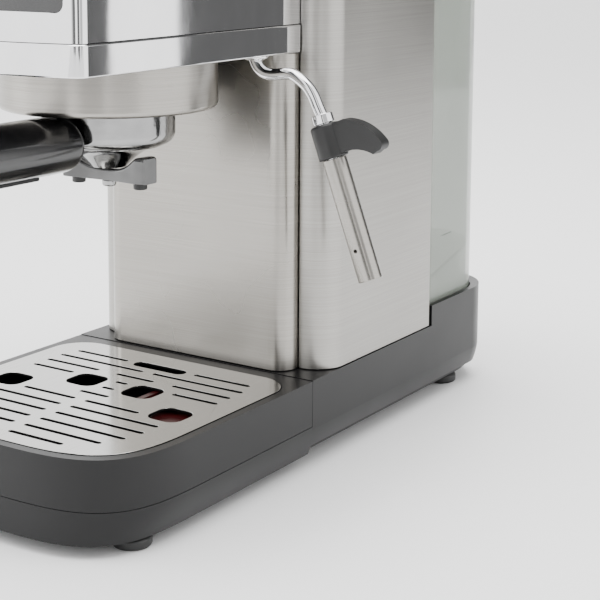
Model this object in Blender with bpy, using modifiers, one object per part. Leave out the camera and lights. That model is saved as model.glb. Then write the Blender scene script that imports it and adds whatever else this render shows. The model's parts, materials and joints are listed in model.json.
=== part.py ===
"""Espresso machine with a drip tray, portafilter, steam wand and rear water tank.

Metres, +Z up, front towards -Y, right towards +X.  Everything is laid out from the machine's own
origin: the point on the table below the brewing group's axis.  The empty "machine" then carries
the whole machine so that the world origin is the bottom centre of its bounding box.
"""
import bmesh
import bpy
from math import atan2, cos, pi, radians, sin, sqrt
from mathutils import Matrix

# ---- driving dimensions ---------------------------------------------------------------------
GAP = 0.0003                # running gap between neighbouring pieces

BASE_HALF_WIDTH = 0.0754    # base, tray and side panels share this width
BASE_REAR = 0.275
REAR_ROUND = 0.032          # radius of the base's rear corners
BASE_WALL = 0.0025
SIDE_TAPER = 0.0045         # how far each side draws in towards the base's lower edge
BASE_BOTTOM = 0.006         # height of the base's lower edge above the table
TRAY_SEAM = 0.022           # height where the drawer tray rests on the base
DECK = 0.0455               # top of the base, the tray and the drip plate
TRAY_REAR = 0.0642
NOSE_START = -0.020         # where the straight sides turn into the rounded front
NOSE_LENGTH = 0.071
NOSE_POWER = 3.8            # squareness of the rounded front

PLATE_INSET = 0.0049        # from the base outline to the drip plate
PLATE_REAR = 0.0559
SLOT_PITCH = 0.0104
SLOT_WIDTH = 0.0026
FINGER_SLOT_REACH = 0.0160
SLOT_ROWS = 12
SLOT_HALF_SPAN = 0.0579     # outer end of the longest slots
SLOT_BRIDGE = 0.0033        # half of the solid strip down the middle
FIRST_ROW = 0.039
HOLE_SIDE = 0.0178
HOLE_CORNER = 0.0055
HOLE_MARGIN_X = 0.014       # half sides and corner of the plain area kept round each hole
HOLE_MARGIN_Y = 0.0163
HOLE_MARGIN_CORNER = 0.010
HOLE_CENTRES = ((-0.0175, 0.0021), (0.0175, 0.0021), (-0.0495, -0.0175), (0.0495, -0.0175))

COLUMN_FRONT = 0.0657
COLUMN_HALF_WIDTH = 0.0579
COLUMN_CORNER = 0.0104
HOUSING_FRONT = 0.078
HOUSING_HALF_WIDTH = 0.0748
HOUSING_CORNER = 0.0156
HOUSING_REAR = 0.1885
SHEET = 0.0012              # steel sheet thickness

HEAD_BOTTOM = 0.2067
BAND_TOP = 0.2205
HEAD_HALF_WIDTH = 0.0592
HEAD_FRONT = 0.0936         # reach of the head's bulged front from the group axis
HEAD_BULGE = 0.0065
SHELL_TOP = 0.2877
TOTAL_HEIGHT = 0.300
PANEL_SLOPE = radians(15.3)  # lean of the control panel from vertical
PANEL_FOOT_Y = -0.0915      # place and height of the sloped front's lower edge
PANEL_FOOT_Z = 0.2235
PANEL_REACH = 0.0335        # from that edge up the slope to the panel's centre

RING_RADIUS = 0.0523
RING_BOTTOM = 0.1835
FILTER_RADIUS = 0.0319
FILTER_BOTTOM = 0.1658
NECK_BOTTOM = 0.1549
HANDLE_HEIGHT = 0.1695
HANDLE_END = 0.165          # reach of the handle from the group axis
SPOUT_HALF_SPAN = 0.0252
SPOUT_BOTTOM = 0.1483
SPOUT_TIP_X = 0.019

WAND_X = 0.0476             # the wand's ball joint
WAND_Y = 0.054
WAND_Z = 0.209
WAND_LEAN = radians(20.1)
WAND_REACH = 0.1202         # furthest point of the wand from the mid-plane
TUBE_RADIUS = 0.0030

TANK_SEAT = 0.0480          # height of the base's seat under the tank and its dock
TANK_WALL = 0.0022
TANK_FRONT = 0.192
TANK_REAR = 0.265
TANK_HALF_WIDTH = 0.0715
TANK_CORNER = 0.026
TANK_TOP = 0.284
LID_TOP = 0.2895
DOCK_PIVOT_Y = 0.2100       # the dock's slope passes through this place at height DOCK_PIVOT_Z
DOCK_PIVOT_Z = 0.0712
DOCK_SLOPE = atan2(0.010, 0.040)
OUTLET_Y = 0.232            # the tank's valve and the outlet below it
KNOB_Y = 0.135
KNOB_Z = 0.255
FOOT_RADIUS = 0.009
FOOT_X = 0.059
FOOT_YS = (-0.058, 0.235)

INLET_LENGTH = 0.006        # how far the mains inlet stands out of the base's rear
MACHINE_SHIFT = (-(WAND_REACH - BASE_HALF_WIDTH) / 2,
                 -(BASE_REAR + INLET_LENGTH - HANDLE_END) / 2, 0.0)


# ---- scene ----------------------------------------------------------------------------------
for leftover in list(bpy.data.objects):
    bpy.data.objects.remove(leftover, do_unlink=True)


def new_collection(name):
    collection = bpy.data.collections.new(name)
    bpy.context.scene.collection.children.link(collection)
    return collection


PARTS = new_collection("espresso_machine")
CUTTERS = new_collection("cutters")


def new_empty(name, location, rotation=(0, 0, 0), parent=None):
    empty = bpy.data.objects.new(name, None)
    empty.empty_display_size = 0.02
    empty.location = location
    empty.rotation_euler = rotation
    empty.parent = parent
    PARTS.objects.link(empty)
    return empty


MACHINE = new_empty("machine", MACHINE_SHIFT)


def new_finish(name, colour, roughness, metallic=0.0, alpha=1.0):
    finish = bpy.data.materials.new(name)
    finish.use_nodes = True
    finish.diffuse_color = (*colour, alpha)
    shader = finish.node_tree.nodes["Principled BSDF"]
    shader.inputs["Base Color"].default_value = (*colour, 1.0)
    shader.inputs["Roughness"].default_value = roughness
    shader.inputs["Metallic"].default_value = metallic
    shader.inputs["Alpha"].default_value = alpha
    return finish


FINISHES = {
    "brushed": ((0.62, 0.61, 0.59), 0.35, 1.0),
    "mirror": ((0.78, 0.78, 0.78), 0.06, 1.0),
    "satin": ((0.70, 0.69, 0.67), 0.28, 1.0),
    "cast": ((0.66, 0.66, 0.66), 0.15, 1.0),
    "dark": ((0.075, 0.075, 0.078), 0.45),
    "black": ((0.015, 0.015, 0.015), 0.25),
    "rubber": ((0.02, 0.02, 0.02), 0.75),
    "red": ((0.16, 0.008, 0.01), 0.35),
    "clear": ((0.50, 0.55, 0.49), 0.12, 0.0, 0.45),
    "aluminium": ((0.60, 0.61, 0.62), 0.4, 1.0),
    "brass": ((0.62, 0.47, 0.20), 0.3, 1.0),
    "board": ((0.02, 0.14, 0.06), 0.5),
    "hose": ((0.60, 0.58, 0.54), 0.4),
    "lens": ((0.75, 0.32, 0.04), 0.2),
}


# ---- outlines -------------------------------------------------------------------------------
def arc(centre_x, centre_y, radius, start, end, steps):
    """Points along an arc, both ends included; angles in degrees."""
    points = []
    for step in range(steps + 1):
        angle = radians(start + (end - start) * step / steps)
        points.append((centre_x + radius * cos(angle), centre_y + radius * sin(angle)))
    return points


def mirrored(points):
    """The right-hand points followed by their mirror image, a closed outline."""
    return list(points) + [(-x, y) for x, y in reversed(points)]


def circle(radius, steps=32, centre_x=0.0, centre_y=0.0):
    return arc(centre_x, centre_y, radius, 0, 360 * (steps - 1) / steps, steps - 1)


def rounded_box(half_x, half_y, corner, centre_x=0.0, centre_y=0.0, steps=3):
    points = []
    for turn, (sign_x, sign_y) in enumerate(((1, 1), (-1, 1), (-1, -1), (1, -1))):
        points += arc(centre_x + sign_x * (half_x - corner), centre_y + sign_y * (half_y - corner),
                      corner, 90 * turn, 90 * turn + 90, steps)
    return points


def nose_points(inset, steps=12):
    """The rounded front of the base, from its middle to where the right side runs straight."""
    points = []
    for step in range(steps + 1):
        angle = pi / 2 * (1 - step / steps)
        x = (BASE_HALF_WIDTH - inset) * abs(cos(angle)) ** (2 / NOSE_POWER)
        y = NOSE_START - (NOSE_LENGTH - inset) * abs(sin(angle)) ** (2 / NOSE_POWER)
        points.append((x, y))
    return points[1:]


def base_outline(inset=0.0, rear=None, corner=REAR_ROUND):
    """The base's plan, or a shorter one with its own rear edge; no rear round if corner is 0."""
    side = BASE_HALF_WIDTH - inset
    if rear is None:
        rear, corner = BASE_REAR - inset, corner - inset
    right = nose_points(inset)
    if corner > 0:
        right += arc(side - corner, rear - corner, corner, 0, 90, 5)
    else:
        right.append((side, rear))
    return mirrored(right)


def head_points(inset, rear, corner=0.004, steps=8):
    """Right half of the head's outline, from the middle of its bulged front to its rear end."""
    half = HEAD_HALF_WIDTH - inset
    side_front = -(HEAD_FRONT - HEAD_BULGE - inset)
    points = []
    for step in range(steps):
        x = (half - corner) * (step + 0.5) / steps
        points.append((x, -(HEAD_FRONT - inset) + HEAD_BULGE * (x / half) ** 2))
    points += arc(half - corner, side_front + corner, corner, -80, 0, 3)
    points.append((half, rear))
    return points


def housing_corner(inset=0.0):
    """The large round front corner of the right side panel."""
    centre_x = HOUSING_HALF_WIDTH - HOUSING_CORNER
    return arc(centre_x, HOUSING_FRONT + HOUSING_CORNER, HOUSING_CORNER - inset, -90, 0, 7)


def tank_outline(inset=0.0, front=TANK_FRONT):
    side = TANK_HALF_WIDTH - inset
    right = arc(side - 0.004, front + inset + 0.004, 0.004, -90, 0, 2)
    right += arc(TANK_HALF_WIDTH - TANK_CORNER, TANK_REAR - TANK_CORNER, TANK_CORNER - inset, 0, 90, 6)
    return mirrored(right)


# ---- making and placing ---------------------------------------------------------------------
def add_part(name, data, finish, parent=MACHINE, location=(0, 0, 0), rotation=(0, 0, 0)):
    part = bpy.data.objects.new(name, data)
    data.name = name
    data.materials.append(new_finish(name + "_finish", *FINISHES[finish]))
    part.location = location
    part.rotation_euler = rotation
    part.parent = parent
    PARTS.objects.link(part)
    return part


def add_cutter(name, data, parent=MACHINE, location=(0, 0, 0), rotation=(0, 0, 0)):
    cutter = bpy.data.objects.new(name, data)
    data.name = name
    cutter.location = location
    cutter.rotation_euler = rotation
    cutter.parent = parent
    cutter.hide_render = True
    cutter.display_type = "WIRE"
    CUTTERS.objects.link(cutter)
    return cutter


def combine(part, other, operation="DIFFERENCE"):
    step = part.modifiers.new(other.name, "BOOLEAN")
    step.operation = operation
    step.solver = "EXACT"
    step.object = other
    return part


def plate_mesh(outlines, low, high):
    """A flat plate between two heights; outlines after the first are holes."""
    curve = bpy.data.curves.new("outline", "CURVE")
    curve.dimensions = "2D"
    curve.fill_mode = "BOTH"
    curve.extrude = (high - low) / 2
    for outline in outlines:
        spline = curve.splines.new("POLY")
        spline.points.add(len(outline) - 1)
        for point, (x, y) in zip(spline.points, outline):
            point.co = (x, y, 0, 1)
        spline.use_cyclic_u = True
    holder = bpy.data.objects.new("outline_holder", curve)
    bpy.context.scene.collection.objects.link(holder)
    evaluated = holder.evaluated_get(bpy.context.evaluated_depsgraph_get())
    mesh = bpy.data.meshes.new_from_object(evaluated)
    bpy.data.objects.remove(holder, do_unlink=True)
    bpy.data.curves.remove(curve)
    mesh.transform(Matrix.Translation((0, 0, (low + high) / 2)))
    return welded(mesh)


def welded(mesh):
    shape = bmesh.new()
    shape.from_mesh(mesh)
    bmesh.ops.remove_doubles(shape, verts=shape.verts, dist=0.00001)
    bmesh.ops.recalc_face_normals(shape, faces=shape.faces)
    shape.to_mesh(mesh)
    shape.free()
    return mesh


def box_mesh(size, centre=(0, 0, 0)):
    mesh = bpy.data.meshes.new("shape")
    shape = bmesh.new()
    bmesh.ops.create_cube(shape, size=1.0, matrix=Matrix.Translation(centre) @ Matrix.Diagonal((*size, 1)))
    shape.to_mesh(mesh)
    shape.free()
    return mesh


def loft_mesh(sections):
    """A closed skin through loops of points that all have the same count."""
    mesh = bpy.data.meshes.new("shape")
    shape = bmesh.new()
    loops = [[shape.verts.new(point) for point in section] for section in sections]
    count = len(loops[0])
    for before, after in zip(loops, loops[1:]):
        for index in range(count):
            following = (index + 1) % count
            shape.faces.new((before[index], before[following], after[following], after[index]))
    shape.faces.new(list(reversed(loops[0])))
    shape.faces.new(loops[-1])
    bmesh.ops.recalc_face_normals(shape, faces=shape.faces)
    shape.to_mesh(mesh)
    shape.free()
    return mesh


def rod_mesh(radius, low, high, steps=20):
    mesh = bpy.data.meshes.new("shape")
    shape = bmesh.new()
    bmesh.ops.create_cone(shape, cap_ends=True, segments=steps, radius1=radius, radius2=radius,
                          depth=high - low, matrix=Matrix.Translation((0, 0, (low + high) / 2)))
    shape.to_mesh(mesh)
    shape.free()
    return mesh


def wall_mesh(path, low, high):
    """An upright open sheet along a path; facing to the right of the path's direction."""
    mesh = bpy.data.meshes.new("shape")
    shape = bmesh.new()
    verts = [shape.verts.new((x, y, low)) for x, y in path]
    edges = [shape.edges.new(pair) for pair in zip(verts, verts[1:])]
    raised = bmesh.ops.extrude_edge_only(shape, edges=edges)
    upper = [item for item in raised["geom"] if isinstance(item, bmesh.types.BMVert)]
    bmesh.ops.translate(shape, verts=upper, vec=(0, 0, high - low))
    shape.to_mesh(mesh)
    shape.free()
    return mesh


def add_sheet(name, path, low, high, finish, thickness=SHEET):
    """A bent sheet whose outer face follows the path and whose thickness goes inwards."""
    part = add_part(name, wall_mesh(path, low, high), finish)
    solid = part.modifiers.new("thickness", "SOLIDIFY")
    solid.thickness = thickness
    solid.offset = 1
    solid.use_even_offset = True
    return part


def turned_mesh(profile, closed):
    mesh = bpy.data.meshes.new("shape")
    shape = bmesh.new()
    verts = [shape.verts.new((radius, 0, height)) for radius, height in profile]
    for pair in zip(verts, verts[1:] + (verts[:1] if closed else [])):
        shape.edges.new(pair)
    shape.to_mesh(mesh)
    shape.free()
    return mesh


def turn(part, steps=28):
    screw = part.modifiers.new("turned", "SCREW")
    screw.axis = "Z"
    screw.angle = 2 * pi
    screw.steps = steps
    screw.render_steps = steps
    screw.use_merge_vertices = True
    screw.merge_threshold = 0.00001
    screw.use_smooth_shade = True
    return part


def add_turned(name, profile, finish, closed=False, steps=28, **place):
    """A turned piece; its profile runs down the outer side, and back up the bore if closed."""
    return turn(add_part(name, turned_mesh(profile, closed), finish, **place), steps)


def tube_curve(points, radius, resolution=2):
    curve = bpy.data.curves.new("route", "CURVE")
    curve.dimensions = "3D"
    curve.bevel_depth = radius
    curve.bevel_resolution = resolution
    curve.use_fill_caps = True
    spline = curve.splines.new("POLY")
    spline.points.add(len(points) - 1)
    for point, place in zip(spline.points, points):
        point.co = (*place, 1)
    return curve


def smooth_route(corners, radius=0.012, steps=3):
    """A route through corner points with each corner rounded by a quadratic bend."""
    route = [corners[0]]
    for before, corner, after in zip(corners, corners[1:], corners[2:]):
        ends = []
        for other in (before, after):
            span = sqrt(sum((a - b) ** 2 for a, b in zip(other, corner)))
            share = min(radius / span, 0.45)
            ends.append([c + (o - c) * share for c, o in zip(corner, other)])
        for step in range(steps + 1):
            t = step / steps
            route.append([(1 - t) ** 2 * a + 2 * t * (1 - t) * c + t ** 2 * b
                          for a, c, b in zip(ends[0], corner, ends[1])])
    route.append(corners[-1])
    return route


# ---- base and drip tray ---------------------------------------------------------------------
def make_base():
    """Pan with a low front deck, a raised rear block and a collar that holds the tank."""
    wall = BASE_WALL
    collar_top = 0.0570
    narrowing = 1 - SIDE_TAPER / BASE_HALF_WIDTH
    pan = loft_mesh([[(x * narrowing, y, BASE_BOTTOM) for x, y in base_outline()],
                     [(x, y, TRAY_SEAM - GAP) for x, y in base_outline()]])
    base = add_part("base_frame", pan, "dark")

    front = TRAY_REAR + GAP
    side = BASE_HALF_WIDTH
    rear_corner = arc(side - REAR_ROUND, BASE_REAR - REAR_ROUND, REAR_ROUND, 0, 90, 5)
    block = [(side, front)] + rear_corner
    block_mesh = plate_mesh([mirrored(block)], TRAY_SEAM - 0.0015, DECK)
    combine(base, add_cutter("base_rear_block", block_mesh), "UNION")

    ring = [(side, HOUSING_REAR + 0.002)] + rear_corner
    combine(base, add_cutter("base_collar", plate_mesh([mirrored(ring)], 0.030, collar_top)), "UNION")
    seat = tank_outline(-0.0008, TANK_FRONT - 0.02)
    combine(base, add_cutter("tank_seat", plate_mesh([seat], TANK_SEAT, 0.08)))

    pan_hollow = plate_mesh([base_outline(wall + SIDE_TAPER)], 0.0, TRAY_SEAM - wall)
    combine(base, add_cutter("pan_hollow", pan_hollow))
    rear_hollow = [(side - wall, front + wall)]
    rear_hollow += arc(side - REAR_ROUND, BASE_REAR - REAR_ROUND, REAR_ROUND - wall, 0, 90, 5)
    combine(base, add_cutter("rear_hollow", plate_mesh([mirrored(rear_hollow)], 0.0, DECK - wall)))

    opening = rounded_box(0.045, 0.040, 0.006, 0, 0.135)
    combine(base, add_cutter("deck_opening", plate_mesh([opening], 0.03, 0.06)))
    outlet = circle(0.009, 16, 0, OUTLET_Y)
    combine(base, add_cutter("outlet_hole", plate_mesh([outlet], 0.03, 0.06)))
    inlet_hole = rod_mesh(0.0063, -0.02, 0.02)
    combine(base, add_cutter("inlet_hole", inlet_hole, location=(-0.030, BASE_REAR, 0.028),
                             rotation=(pi / 2, 0, 0)))

    inside = base_outline(wall + SIDE_TAPER + GAP)
    add_part("bottom_cover", plate_mesh([inside], BASE_BOTTOM + GAP, 0.0083), "dark")
    corners = [("left" if x < 0 else "right", place, x, y) for place, y in zip(("front", "rear"), FOOT_YS)
               for x in (-FOOT_X, FOOT_X)]
    for side_name, place, x, y in corners:
        top = BASE_BOTTOM - GAP
        profile = [(0, top), (0.0075, top), (FOOT_RADIUS, 0.0040), (FOOT_RADIUS, 0.0008),
                   (FOOT_RADIUS - 0.0008, 0), (0, 0)]
        add_turned(f"foot_{place}_{side_name}", profile, "rubber", steps=20, location=(x, y, 0))


def make_inlet():
    """Gland where the mains lead would enter, with its bore left open."""
    profile = [(0.0080, INLET_LENGTH), (0.0092, 0.0040), (0.0112, 0.0012), (0.0112, GAP), (0.0058, GAP),
               (0.0058, -0.006), (0.0036, -0.006), (0.0036, INLET_LENGTH)]
    add_turned("mains_inlet", profile, "black", closed=True, steps=16,
               location=(-0.030, BASE_REAR, 0.028), rotation=(-pi / 2, 0, 0))


def make_tray():
    """Drawer tray: thin walls, a floor and an inner ledge that carries the drip plate."""
    wall = 0.0024
    rear = TRAY_REAR
    top = DECK - GAP
    tray = add_part("drip_tray", plate_mesh([base_outline(0, rear, 0)], TRAY_SEAM, top), "dark")
    hollow = base_outline(wall, rear - wall, 0.006)
    combine(tray, add_cutter("tray_hollow", plate_mesh([hollow], TRAY_SEAM + wall, 0.0415)))
    throat = base_outline(PLATE_INSET + 0.004, PLATE_REAR - 0.004, 0.015)
    combine(tray, add_cutter("tray_throat", plate_mesh([throat], 0.040, 0.05)))
    recess = base_outline(PLATE_INSET - 0.0005, PLATE_REAR + 0.0005, 0.0187)
    combine(tray, add_cutter("plate_recess", plate_mesh([recess], 0.0440, 0.05)))


def keep_out(row_y, hole):
    """Half of the length that a slot row must leave free beside a hole, or 0."""
    rise = abs(row_y - hole[1])
    corner = HOLE_MARGIN_CORNER
    if rise >= HOLE_MARGIN_Y:
        return 0.0
    over = rise - (HOLE_MARGIN_Y - corner)
    return HOLE_MARGIN_X if over <= 0 else HOLE_MARGIN_X - corner + sqrt(corner ** 2 - over ** 2)


def slot_spans(row):
    """The stretches of one row that are cut open, as (start, end) along X."""
    row_y = FIRST_ROW - SLOT_PITCH * row
    trims = {0: 0.0030, 7: 0.0030, 8: 0.0030, 9: 0.0050, 10: 0.0101, 11: 0.0230}
    reach = SLOT_HALF_SPAN - trims.get(row, 0.0)
    blocked = sorted((hole[0] - keep_out(row_y, hole), hole[0] + keep_out(row_y, hole))
                     for hole in HOLE_CENTRES if keep_out(row_y, hole) > 0)
    beside_middle_holes = abs(HOLE_CENTRES[0][1] - row_y) < HOLE_MARGIN_Y
    if row == 0:
        blocked = [(-FINGER_SLOT_REACH - 0.0055, FINGER_SLOT_REACH + 0.0055)]
    elif not beside_middle_holes:
        blocked.append((-SLOT_BRIDGE, SLOT_BRIDGE))
    spans, start = [], -reach
    for low, high in sorted(blocked) + [(reach, reach)]:
        length = min(low, reach) - start
        centred = abs(start + length / 2) < 0.002
        if length > 0.012 or (centred and length > 0.004):
            spans.append((start, start + length))
        start = max(start, high)
    return [(low, high, row_y) for low, high in spans]


def slot_outline(low, high, y, width=SLOT_WIDTH):
    radius = width / 2
    return arc(high - radius, y, radius, -90, 90, 3) + arc(low + radius, y, radius, 90, 270, 3)


def make_drip_plate():
    outlines = [base_outline(PLATE_INSET, PLATE_REAR, 0.0182)]
    for row in range(SLOT_ROWS):
        outlines += [slot_outline(low, high, y) for low, high, y in slot_spans(row)]
    outlines.append(slot_outline(-FINGER_SLOT_REACH, FINGER_SLOT_REACH, FIRST_ROW - 0.0008, 0.0075))
    for x, y in HOLE_CENTRES:
        outlines.append(rounded_box(HOLE_SIDE / 2, HOLE_SIDE / 2, HOLE_CORNER, x, y))
    add_part("drip_plate", plate_mesh(outlines, DECK - 0.0012, DECK), "satin")


def make_float():
    outline = rounded_box(0.0215, 0.0240, 0.006, 0.0385, -0.0020)
    add_part("tray_float", plate_mesh([outline], 0.0345, 0.0435), "red")


# ---- housing --------------------------------------------------------------------------------
def make_column():
    right = [(COLUMN_HALF_WIDTH, 0.095)]
    right += reversed(arc(COLUMN_HALF_WIDTH - COLUMN_CORNER, COLUMN_FRONT + COLUMN_CORNER,
                          COLUMN_CORNER, -90, 0, 6))
    path = [(-x, y) for x, y in right] + list(reversed(right))
    add_sheet("front_column", path, DECK + GAP, HEAD_BOTTOM - GAP, "brushed")


def make_side_panels():
    inner_edge = (COLUMN_HALF_WIDTH + 0.0004, HOUSING_FRONT)
    right = [inner_edge] + housing_corner() + [(HOUSING_HALF_WIDTH, HOUSING_REAR)]
    panel = add_sheet("side_panel_right", right, DECK + GAP, SHELL_TOP, "brushed")
    hole = rod_mesh(0.0048, -0.01, 0.01, 16)
    combine(panel, add_cutter("spindle_hole", hole, location=(HOUSING_HALF_WIDTH, KNOB_Y, KNOB_Z),
                              rotation=(0, pi / 2, 0)))
    left = [(-x, y) for x, y in reversed(right)]
    add_sheet("side_panel_left", left, DECK + GAP, SHELL_TOP, "brushed")


def make_chassis():
    """Inner plastic frame: a floor over the base's opening, two uprights and a pump shelf."""
    chassis = add_part("chassis", box_mesh((0.124, 0.006, 0.236), (0, 0.180, 0.167)), "black")
    floor = box_mesh((0.124, 0.078, 0.003), (0, 0.142, DECK + GAP + 0.0015))
    combine(chassis, add_cutter("chassis_floor", floor), "UNION")
    for side, x in (("left", -0.061), ("right", 0.061)):
        rib = box_mesh((0.003, 0.070, 0.234), (x, 0.147, 0.1645))
        combine(chassis, add_cutter("chassis_rib_" + side, rib), "UNION")
    hole = plate_mesh([rounded_box(0.016, 0.012, 0.004, 0, 0.160)], 0.03, 0.06)
    combine(chassis, add_cutter("hose_hole", hole))
    rear_hole = box_mesh((0.060, 0.03, 0.110), (0, 0.180, 0.195))
    combine(chassis, add_cutter("frame_window", rear_hole))
    right_hole = box_mesh((0.02, 0.034, 0.040), (0.061, KNOB_Y, KNOB_Z))
    combine(chassis, add_cutter("valve_window", right_hole))


def make_rear_cover():
    outline = [(0.0720, 0.1870), (0.0732, 0.1876), (0.0732, 0.1885), (0.0705, 0.1905)]
    add_part("rear_cover", plate_mesh([mirrored(outline)], DECK + GAP, SHELL_TOP), "black")


def make_tank_dock():
    """Seat under the tank with a sloped top that rises towards the back."""
    outline = mirrored([(0.0635, 0.1945), (0.0660, 0.1970), (0.0660, 0.2330)]
                       + arc(0.0460, 0.2380, 0.0200, 20, 90, 4))
    dock = add_part("tank_dock", plate_mesh([outline], TANK_SEAT + GAP, 0.090), "black")
    shaver = box_mesh((0.20, 0.20, 0.06), (0, 0, 0.03))
    combine(dock, add_cutter("dock_slope", shaver, location=(0, DOCK_PIVOT_Y, DOCK_PIVOT_Z),
                             rotation=(DOCK_SLOPE, 0, 0)))
    hollow = rounded_box(0.0630, 0.0170, 0.004, 0, 0.2150)
    combine(dock, add_cutter("dock_hollow", plate_mesh([hollow], 0.02, 0.0660)))
    well = plate_mesh([circle(0.0105, 20, 0, OUTLET_Y)], 0.02, 0.12)
    combine(dock, add_cutter("valve_well", well))


# ---- head -----------------------------------------------------------------------------------
def make_head():
    """Under-plate, chrome band and the hollow upper shell with a sloped front."""
    band_rear = HOUSING_FRONT - 0.001
    right = head_points(0, band_rear)
    path = [(-x, y) for x, y in reversed(right)] + right
    add_sheet("chrome_band", path, HEAD_BOTTOM, BAND_TOP, "mirror", 0.0020)

    under = mirrored(head_points(0.0023, 0.0640))
    holes = [circle(0.0455, 32), circle(0.0070, 16, WAND_X, WAND_Y)]
    add_part("head_frame", plate_mesh([under] + holes, HEAD_BOTTOM, 0.2100), "dark")

    low, high = BAND_TOP + GAP, SHELL_TOP
    wall = 0.0025
    shell_mesh = plate_mesh([mirrored(head_points(0.0012, 0.0900))], low, high)
    shell = add_part("head_shell", shell_mesh, "mirror")
    front = box_mesh((0.2, 0.1, 0.2), (0, -0.05, 0.05))
    combine(shell, add_cutter("front_slope", front, location=(0, PANEL_FOOT_Y, PANEL_FOOT_Z),
                              rotation=(-PANEL_SLOPE, 0, 0)))
    hollow_mesh = plate_mesh([mirrored(head_points(0.0012 + wall, 0.1000))], low - 0.01, high - wall)
    hollow = add_cutter("shell_hollow", hollow_mesh)
    combine(hollow, add_cutter("hollow_slope", front.copy(), location=(0, -0.0885, 0.2225),
                               rotation=(-PANEL_SLOPE, 0, 0)))
    combine(shell, hollow)
    window = plate_mesh([rounded_box(0.0500, 0.0235, 0.004)], -0.010, 0.010)
    combine(shell, add_cutter("panel_window", window, PANEL))


def make_panel():
    """Control panel in the sloped front, with three push buttons and a lamp lens."""
    buttons = (("button_power", -0.032), ("button_brew", 0.0), ("button_steam", 0.032))
    holes = [circle(0.0089, 24, x, -0.002) for name, x in buttons] + [circle(0.0024, 12, 0.016, 0.014)]
    outline = rounded_box(0.0500 - GAP, 0.0235 - GAP, 0.004 - GAP)
    panel = plate_mesh([outline] + holes, -0.0035, -0.0008)
    add_part("control_panel", panel, "black", PANEL)
    for name, x in buttons:
        profile = [(0, 0.0018), (0.0074, 0.0018), (0.0085, 0.0008), (0.0085, -0.0060), (0, -0.0060)]
        add_turned(name, profile, "mirror", parent=PANEL, location=(x, -0.002, 0), steps=24)
    lens = [(0, 0), (0.0016, -0.0002), (0.0021, -0.0008), (0.0021, -0.0045), (0, -0.0045)]
    add_turned("lamp_lens", lens, "lens", parent=PANEL, location=(0.016, 0.014, 0), steps=12)
    board = plate_mesh([rounded_box(0.0460, 0.0200, 0.002)], -0.0130, -0.0114)
    add_part("control_board", board, "board", PANEL)


def make_top():
    low = SHELL_TOP + GAP
    side = HEAD_HALF_WIDTH - 0.0012
    front, corner = -0.0735, 0.004
    right = arc(side - corner, front + corner, corner, -90, 0, 3) + [(side, HOUSING_FRONT)]
    right += [(x, y) for x, y in housing_corner() if x > HEAD_HALF_WIDTH]
    right += arc(HOUSING_HALF_WIDTH - 0.003, HOUSING_REAR - 0.001, 0.003, 0, 90, 2)
    cover = add_part("top_cover", plate_mesh([mirrored(right)], low, TOTAL_HEIGHT), "dark")
    recess = plate_mesh([rounded_box(0.0530, 0.1240, 0.010, 0, 0.0560)], 0.2960, 0.31)
    combine(cover, add_cutter("cup_recess", recess))
    hollow = plate_mesh([rounded_box(0.0530, 0.1220, 0.010, 0, 0.0560)], 0.28, 0.2935)
    combine(cover, add_cutter("cover_hollow", hollow))
    slots = [slot_outline(-0.030, 0.030, y / 1000, 0.004) for y in range(-40, 161, 25)]
    plate = rounded_box(0.0527, 0.1237, 0.0097, 0, 0.0560)
    add_part("cup_plate", plate_mesh([plate] + slots, 0.2960 + GAP, 0.2978), "satin")


# ---- brewing group --------------------------------------------------------------------------
def make_group():
    """Skirt ring, cast head with bayonet ramps, gasket, shower screen and its screw."""
    outer, inner, fillet = RING_RADIUS, RING_RADIUS - 0.0015, 0.0028
    bend = arc(outer - fillet, RING_BOTTOM + fillet, fillet, 0, -90, 4)
    back = arc(outer - fillet, RING_BOTTOM + fillet, fillet - 0.0015, -90, 0, 4)
    profile = [(outer, HEAD_BOTTOM - GAP)] + bend + [(0.0395, RING_BOTTOM), (0.0395, RING_BOTTOM + 0.0015)]
    profile += back + [(inner, HEAD_BOTTOM - GAP)]
    add_turned("group_ring", profile, "brushed", closed=True, steps=36)

    head = [(0, 0.2098), (0.0440, 0.2098), (0.0440, 0.1854), (0.0382, 0.1854), (0.0382, 0.1970),
            (0, 0.1970)]
    group = add_turned("group_head", head, "aluminium", steps=36)
    for side, sign in (("left", -1), ("right", 1)):
        centre = 90 - 90 * sign
        ramp = arc(0, 0, 0.0400, centre - 24, centre + 24, 5)
        ramp += arc(0, 0, 0.0336, centre + 24, centre - 24, 5)
        combine(group, add_cutter("ramp_" + side, plate_mesh([ramp], 0.1856, 0.1886)), "UNION")

    gasket = [(0.0372, 0.1966), (0.0372, 0.1933), (0.0300, 0.1933), (0.0300, 0.1966)]
    add_turned("group_gasket", gasket, "rubber", closed=True, steps=32)
    holes = [circle(0.0012, 6, *point) for ring, count in ((0.011, 6), (0.020, 12))
             for point in circle(ring, count)]
    screen = plate_mesh([circle(0.0285, 32)] + holes, 0.1945, 0.1960)
    add_part("shower_screen", screen, "satin")
    screw = [(0, 0.1942), (0.0045, 0.1942), (0.0045, 0.1926), (0.0030, 0.1916), (0, 0.1916)]
    add_turned("screen_screw", screw, "satin", steps=16)


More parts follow.
